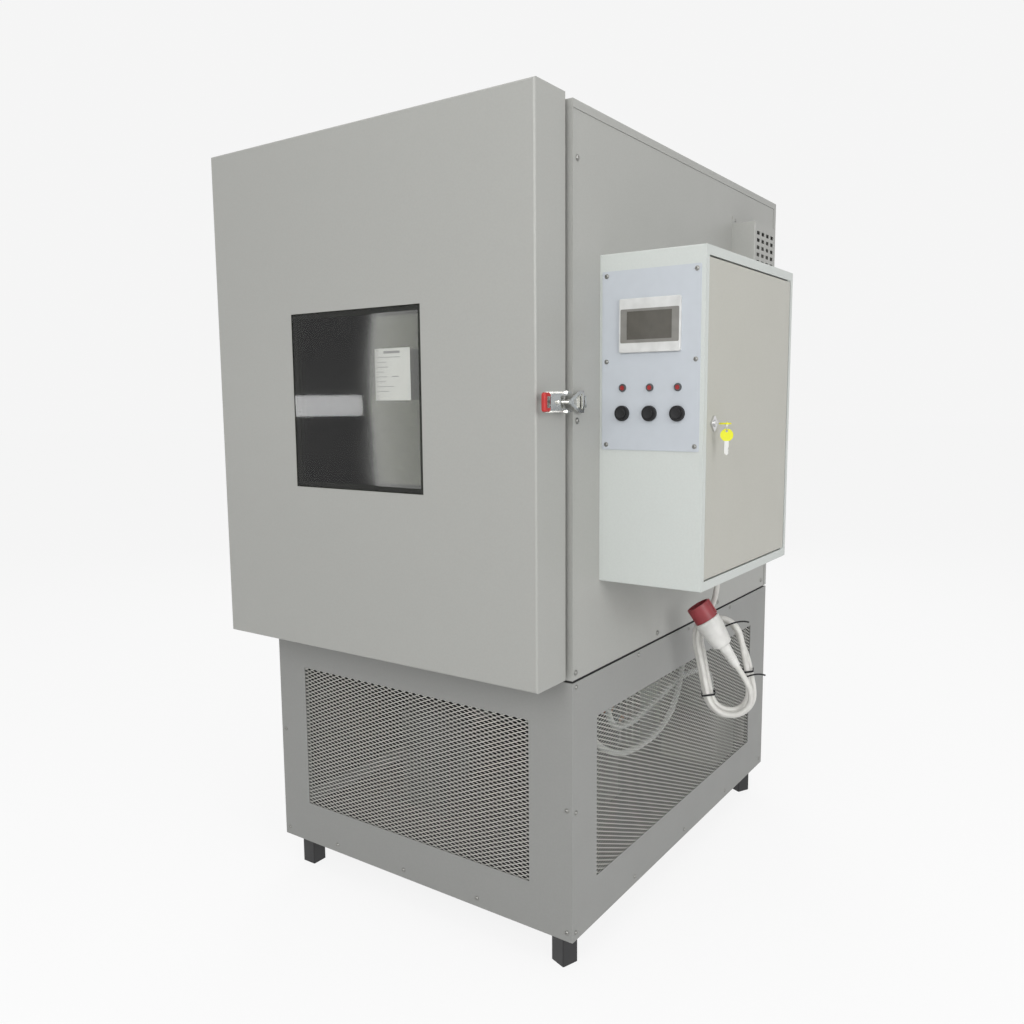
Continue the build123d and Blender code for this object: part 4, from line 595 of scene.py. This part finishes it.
def expanded_mesh(name, corner, along, length, outward):
    """Expanded metal: each row is a zigzag strand whose height is row + a quarter pitch, up or down
    by turns, level at the knuckles, with a tilted flat section carried along it."""
    long_way, short_way = 0.0213, 0.00934
    half_knuckle, width, thick = 0.0018, 0.0023, 0.0010
    rows = int(GRILLE_HEIGHT / (short_way / 2)) + 1
    waves = int(length / long_way)
    first = (length - waves * long_way) / 2
    u0 = np.arange(waves)[:, None] * long_way + np.array([
        0.0, half_knuckle, long_way / 2 - half_knuckle, long_way / 2 + half_knuckle,
        long_way - half_knuckle,
    ])[None]
    u = np.append(u0.reshape(-1), waves * long_way) + first
    sign = np.append(np.tile([1, 1, -1, -1, 1], waves), 1)
    j = np.arange(rows)
    z = GRILLE_LOW + (GRILLE_HEIGHT - (rows - 1) * short_way / 2) / 2 + j * short_way / 2
    flip = np.where(j % 2 == 0, 1, -1)
    centre_z = z[:, None] + flip[:, None] * sign[None] * (short_way / 4 - width * 0.30)
    lean = flip[:, None] * sign[None] * 0.0004
    corners = np.array([(-1, -1), (1, -1), (1, 1), (-1, 1)]) * 0.5
    tilt = math.radians(25)
    dz = corners[:, 0] * width * math.cos(tilt) - corners[:, 1] * thick * math.sin(tilt)
    dn = corners[:, 0] * width * math.sin(tilt) + corners[:, 1] * thick * math.cos(tilt)
    corner = np.asarray(corner, dtype=float)
    along = np.asarray(along, dtype=float)
    outward = np.asarray(outward, dtype=float)
    points = (
        corner[None, None, None]
        + np.broadcast_to(u[None, :, None, None], (rows, len(u), 4, 1)) * along
        + (centre_z[:, :, None, None] + dz[None, None, :, None]) * np.array([0.0, 0.0, 1.0])
        + (lean[:, :, None, None] + dn[None, None, :, None]) * outward
    )
    n = len(u)
    ends = np.array([(0, 3, 2, 1), np.arange(4) + (n - 1) * 4])
    strand = np.concatenate([grid_faces(n, 4), ends])
    faces = (strand[None] + (np.arange(rows) * n * 4)[:, None, None]).reshape(-1, 4)
    sheet = piece(name, points.reshape(-1, 3), faces, grille_paint, "chassis", "zinc")
    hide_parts("base_grilles")


expanded_mesh("mesh_front", (SIDE - 0.7875, FRONT + SHEET_IN, 0.0), (1, 0, 0), 0.695, (0, -1, 0))
for name, x, outward in (("mesh_right", SIDE - SHEET_IN, 1), ("mesh_left", LEFT + SHEET_IN, -1)):
    expanded_mesh(name, (x, SIDE_GRILLE_Y, 0.0), (0, 1, 0), SIDE_GRILLE_LENGTH, (outward, 0, 0))

# Dark felt sheet behind the left grille: painted shade that keeps the inside seen through the grilles dark
piece(
    "shade_sheet", *box(LEFT + 0.005, LEFT + 0.013, FRONT + 0.09, FRONT + 1.015, 0.172, 0.547),
    shade_felt, "chassis", "black_plastic",
)


# Cord, hank and plug

HANK_TURN = math.radians(20.0)
HANK_TILT = math.radians(11.3)
HANK_S, HANK_Z = 0.019, 0.570
GLAND = (SIDE + 0.110, FRONT + 0.470)
PLUG_FRONT = (-0.043, 0.7214, 0.0423)
PLUG_TAIL = (0.047, 0.584, 0.0423)


def hank_at(s, z, off):
    """Point at s along the hank's level axis, height z and distance off in front of it."""
    return (
        GLAND[0] + s * math.cos(HANK_TURN) + off * math.sin(HANK_TURN),
        GLAND[1] + s * math.sin(HANK_TURN) - off * math.cos(HANK_TURN),
        z,
    )


def hank_oval(share, radius, off):
    """Point of one turn: share 0 is the top, 0.25 the left side, 0.5 the bottom; two half circles
    joined by straights, tilted about the hank's middle."""
    straight = 0.068
    whole = 2 * math.pi * radius + 4 * straight
    run = (share % 1.0) * whole
    quarter = math.pi * radius / 2
    if run < quarter:
        a = run / radius
        u, v = -radius * math.sin(a), straight + radius * math.cos(a)
    elif run < quarter + 2 * straight:
        u, v = -radius, straight - (run - quarter)
    elif run < 3 * quarter + 2 * straight:
        a = (run - quarter - 2 * straight) / radius
        u, v = -radius * math.cos(a), -straight - radius * math.sin(a)
    elif run < 3 * quarter + 4 * straight:
        u, v = radius, -straight + (run - 3 * quarter - 2 * straight)
    else:
        a = (run - 3 * quarter - 4 * straight) / radius
        u, v = radius * math.cos(a), straight + radius * math.sin(a)
    s = HANK_S + u * math.cos(HANK_TILT) - v * math.sin(HANK_TILT)
    z = HANK_Z + u * math.sin(HANK_TILT) + v * math.cos(HANK_TILT)
    return hank_at(s, z, off)


def ease(t, start, end):
    """Smooth step from 0 at start to 1 at end."""
    x = min(1.0, max(0.0, (t - start) / (end - start)))
    return x * x * (3 - 2 * x)


def cord_points():
    """Down from the gland, round the hank from the outer to the inner track and to the front one,
    then up the right side into the plug's tail."""
    points = [
        (GLAND[0], GLAND[1], 0.800),
        (GLAND[0] - 0.0015, GLAND[1] + 0.001, 0.770),
        hank_at(-0.003, 0.742, -0.003),
        hank_at(-0.010, 0.712, -0.0065),
    ]
    for t in np.arange(0.07, 2.65, 1 / 26):
        radius = 0.0563 - 0.0131 * ease(t, 0.74, 0.90) + 0.0065 * ease(t, 1.62, 1.74)
        off = -0.0065 + 0.0135 * ease(t, 1.62, 1.74) + 0.025 * ease(t, 2.40, 2.80)
        points.append(hank_oval(t, radius, off))
    points += [
        hank_at(0.0745, 0.537, 0.034),
        hank_at(0.0646, 0.5573, 0.0405),
        hank_at(*PLUG_TAIL),
    ]
    return points


def supply_cord():
    """Cord as one quadratic spline with the route's points as its control points."""
    curve = bpy.data.curves.new("supply_cord_line", "CURVE")
    curve.dimensions = "3D"
    curve.bevel_depth = 0.0065
    curve.bevel_resolution = 5
    curve.resolution_u = 6
    curve.use_fill_caps = True
    route = cord_points()
    spline = curve.splines.new("NURBS")
    spline.points.add(len(route) - 1)
    for point, place in zip(spline.points, route):
        point.co = (*place, 1.0)
    spline.order_u = 3
    spline.use_endpoint_u = True
    curve.materials.append(cord_sheath)
    cord = bpy.data.objects.new("cord", curve)
    bpy.context.scene.collection.objects.link(cord)
    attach(cord, "chassis")
    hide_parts("supply_cord", "cord_coil")


supply_cord()

plug_front = np.array(hank_at(*PLUG_FRONT))
plug_run = np.array(hank_at(*PLUG_TAIL)) - plug_front
plug_axis = plug_run / np.linalg.norm(plug_run)


def plug_details():
    """Five contact pins in the collar, a grip ring round the body, tail ribs."""
    side = np.cross(plug_axis, (0.0, 0.0, 1.0))
    side /= np.linalg.norm(side)
    other = np.cross(plug_axis, side)
    pin = [(0.0, -0.0262), (0.0016, -0.0262), (0.0026, -0.0250), (0.0026, 0.0004), (0.0, 0.0004)]
    parts = []
    for angle in np.radians([18, 90, 162, 234, 306]):
        foot = plug_front + plug_axis * 0.034 + 0.0125 * (math.cos(angle) * side + math.sin(angle) * other)
        parts.append(turned(pin, foot, plug_axis, 12))
    piece("plug_pins", *gather(parts), plated_steel, "chassis", "latch_zinc", True)
    ring = [(0.0285, 0.0), (0.0298, 0.0006), (0.0298, 0.0044), (0.0285, 0.005), (0.0285, 0.0)]
    piece(
        "plug_ring", *turned(ring, plug_front + plug_axis * 0.0395, plug_axis, 40),
        plug_shell, "chassis", "white_plastic", True,
    )
    ribs = []
    for k in range(5):
        h = 0.112 + 0.008 * k
        r = 0.0133 - 0.0004 * k
        ribs.append(turned(
            [(r - 0.0012, 0.0), (r, 0.0008), (r, 0.0032), (r - 0.0012, 0.004), (r - 0.0012, 0.0)],
            plug_front + plug_axis * h, plug_axis, 28,
        ))
    piece("plug_tail_ribs", *gather(ribs), plug_shell, "chassis", "white_plastic", True)


plug_details()


def tie_tail(name, route, width=0.0036, thick=0.0011):
    """Loose end of a cable tie: a flat strap carried along a smooth line."""
    route = np.array([hank_at(*p) for p in route])
    steps = 24
    t = np.linspace(0, 1, steps)[:, None]
    a, b, c, d = route
    line = (1 - t) ** 3 * a + 3 * (1 - t) ** 2 * t * b + 3 * (1 - t) * t ** 2 * c + t ** 3 * d
    along = np.gradient(line, axis=0)
    along /= np.linalg.norm(along, axis=1)[:, None]
    face = np.array([math.sin(HANK_TURN), -math.cos(HANK_TURN), 0.0])
    across = np.cross(along, face)
    across /= np.linalg.norm(across, axis=1)[:, None]
    out = np.cross(across, along)
    corners = [(-1, -1), (1, -1), (1, 1), (-1, 1)]
    points = np.stack([
        line + across * width * 0.5 * i + out * thick * 0.5 * j for i, j in corners
    ], axis=1)
    ends = np.array([(0, 3, 2, 1), np.arange(4) + (steps - 1) * 4])
    faces = np.concatenate([grid_faces(steps, 4), ends])
    piece(name, points, faces, black_moulding, "chassis", "black_plastic")


tie_tail("tie_end_right", [
    (0.066, 0.550, 0.016), (0.085, 0.560, 0.020), (0.098, 0.562, 0.016), (0.112, 0.556, 0.010),
])
tie_tail("tie_end_top", [
    (0.020, 0.672, 0.030), (0.045, 0.690, 0.050), (0.060, 0.690, 0.040), (0.072, 0.684, 0.030),
])


# Sheet of paper between the panes, and the details of the operator plate

def paper_sheet():
    """Thin sheet standing behind the front pane: a grid whose depth waves a little across it."""
    n = 14
    u, v = np.meshgrid(np.linspace(0, 1, n), np.linspace(0, 1, n))
    x = SIDE - 0.409 + 0.096 * u
    z = 1.192 + 0.105 * v
    y = DOOR_FACE + 0.0072 + 0.0004 * np.sin(3 * u + 1) + 0.0003 * np.cos(4 * v)
    points = np.stack([x, y, z], axis=-1).reshape(-1, 3)
    r, c = np.meshgrid(np.arange(n - 1), np.arange(n - 1), indexing="ij")
    a = r * n + c
    faces = np.stack([a, a + 1, a + n + 1, a + n], axis=-1).reshape(-1, 4)
    sheet = piece("paper_sheet", points, faces, paper, "door", "white_plastic")
    wall = sheet.modifiers.new("wall", "SOLIDIFY")
    wall.thickness = 0.0002


paper_sheet()


def printed_rules():
    """Blank form on the sheet: a header bar and plain rules of unequal length, as thin flat bars."""
    x0, y1 = SIDE - 0.4025, DOOR_FACE + 0.0070
    y0 = y1 - 0.0003
    bars = [box(x0 + 0.018, x0 + 0.062, y0, y1, 1.2865, 1.2915)]
    for k, width in enumerate((0.062, 0.024, 0.030, 0.018, 0.026, 0.022, 0.044, 0.030)):
        z = 1.2785 - 0.0098 * k
        bars.append(box(x0, x0 + width, y0, y1, z, z + 0.0011))
    bars.append(box(x0 + 0.040, x0 + 0.058, y0, y1, 1.2393, 1.2412))
    piece("paper_rules", *gather(bars), rule_grey, "door", "white_plastic")


printed_rules()


def indicator_rings():
    """Ring round each indicator lens, lapping over its edge, turned about Y."""
    ring = [
        (0.0046, 0.0031), (0.0062, 0.0031), (0.0062, 0.0), (0.0078, 0.0), (0.0078, 0.0016),
        (0.0070, 0.0036), (0.0050, 0.0038), (0.0046, 0.0031),
    ]
    parts = [turned(ring, (SIDE + x, PLATE_Y, 1.2127), (0, -1, 0), 24) for x in CONTROL_X]
    piece("indicator_rings", *gather(parts), ring_grey, "chassis", "black_plastic", True)


indicator_rings()


def button_caps():
    """Dished face of each pushbutton: radius and depth of a shallow bowl, turned about Y."""
    bowl = [
        (0.0, -0.0003), (0.0098, -0.0003), (0.0099, 0.0004), (0.0092, 0.0008), (0.0080, 0.0006),
        (0.0050, 0.0002), (0.0, 0.0001),
    ]
    for k, x in enumerate(CONTROL_X):
        points, faces = turned(bowl, (SIDE + x, PLATE_Y - 0.009, 1.1631), (0, -1, 0), 28)
        piece(f"button_face_{k + 1}", points, faces, black_moulding, f"button_{k + 1}",
              "black_plastic", True)


button_caps()


def screen_rim(half_w, half_h, r, mid_x, mid_z, y):
    """Forty points round a rectangle with rounded corners: quarter circles of radius r about the
    corners' centres."""
    turn = np.linspace(0, 2 * np.pi, 41)[:-1]
    x = np.sign(np.cos(turn)) * (half_w - r) + r * np.cos(turn)
    z = np.sign(np.sin(turn)) * (half_h - r) + r * np.sin(turn)
    return np.stack([mid_x + x, np.full(40, y), mid_z + z], axis=1)


def screen_border():
    """Dark glossy border round the display: a flat ring between an outer and an inner rim."""
    front, back = PLATE_Y - 0.0062, PLATE_Y - 0.0059
    outer = (0.0615, 0.0323, 0.003, SIDE + 0.1095, 1.3307)
    inner = (0.0472, 0.0267, 0.0006, SIDE + 0.1090, 1.3315)
    loops = [
        screen_rim(*outer, front), screen_rim(*inner, front), screen_rim(*inner, back),
        screen_rim(*outer, back), screen_rim(*outer, front),
    ]
    piece("screen_border", np.concatenate(loops), grid_faces(5, 40), screen_edge, "chassis",
          "black_plastic")


screen_border()
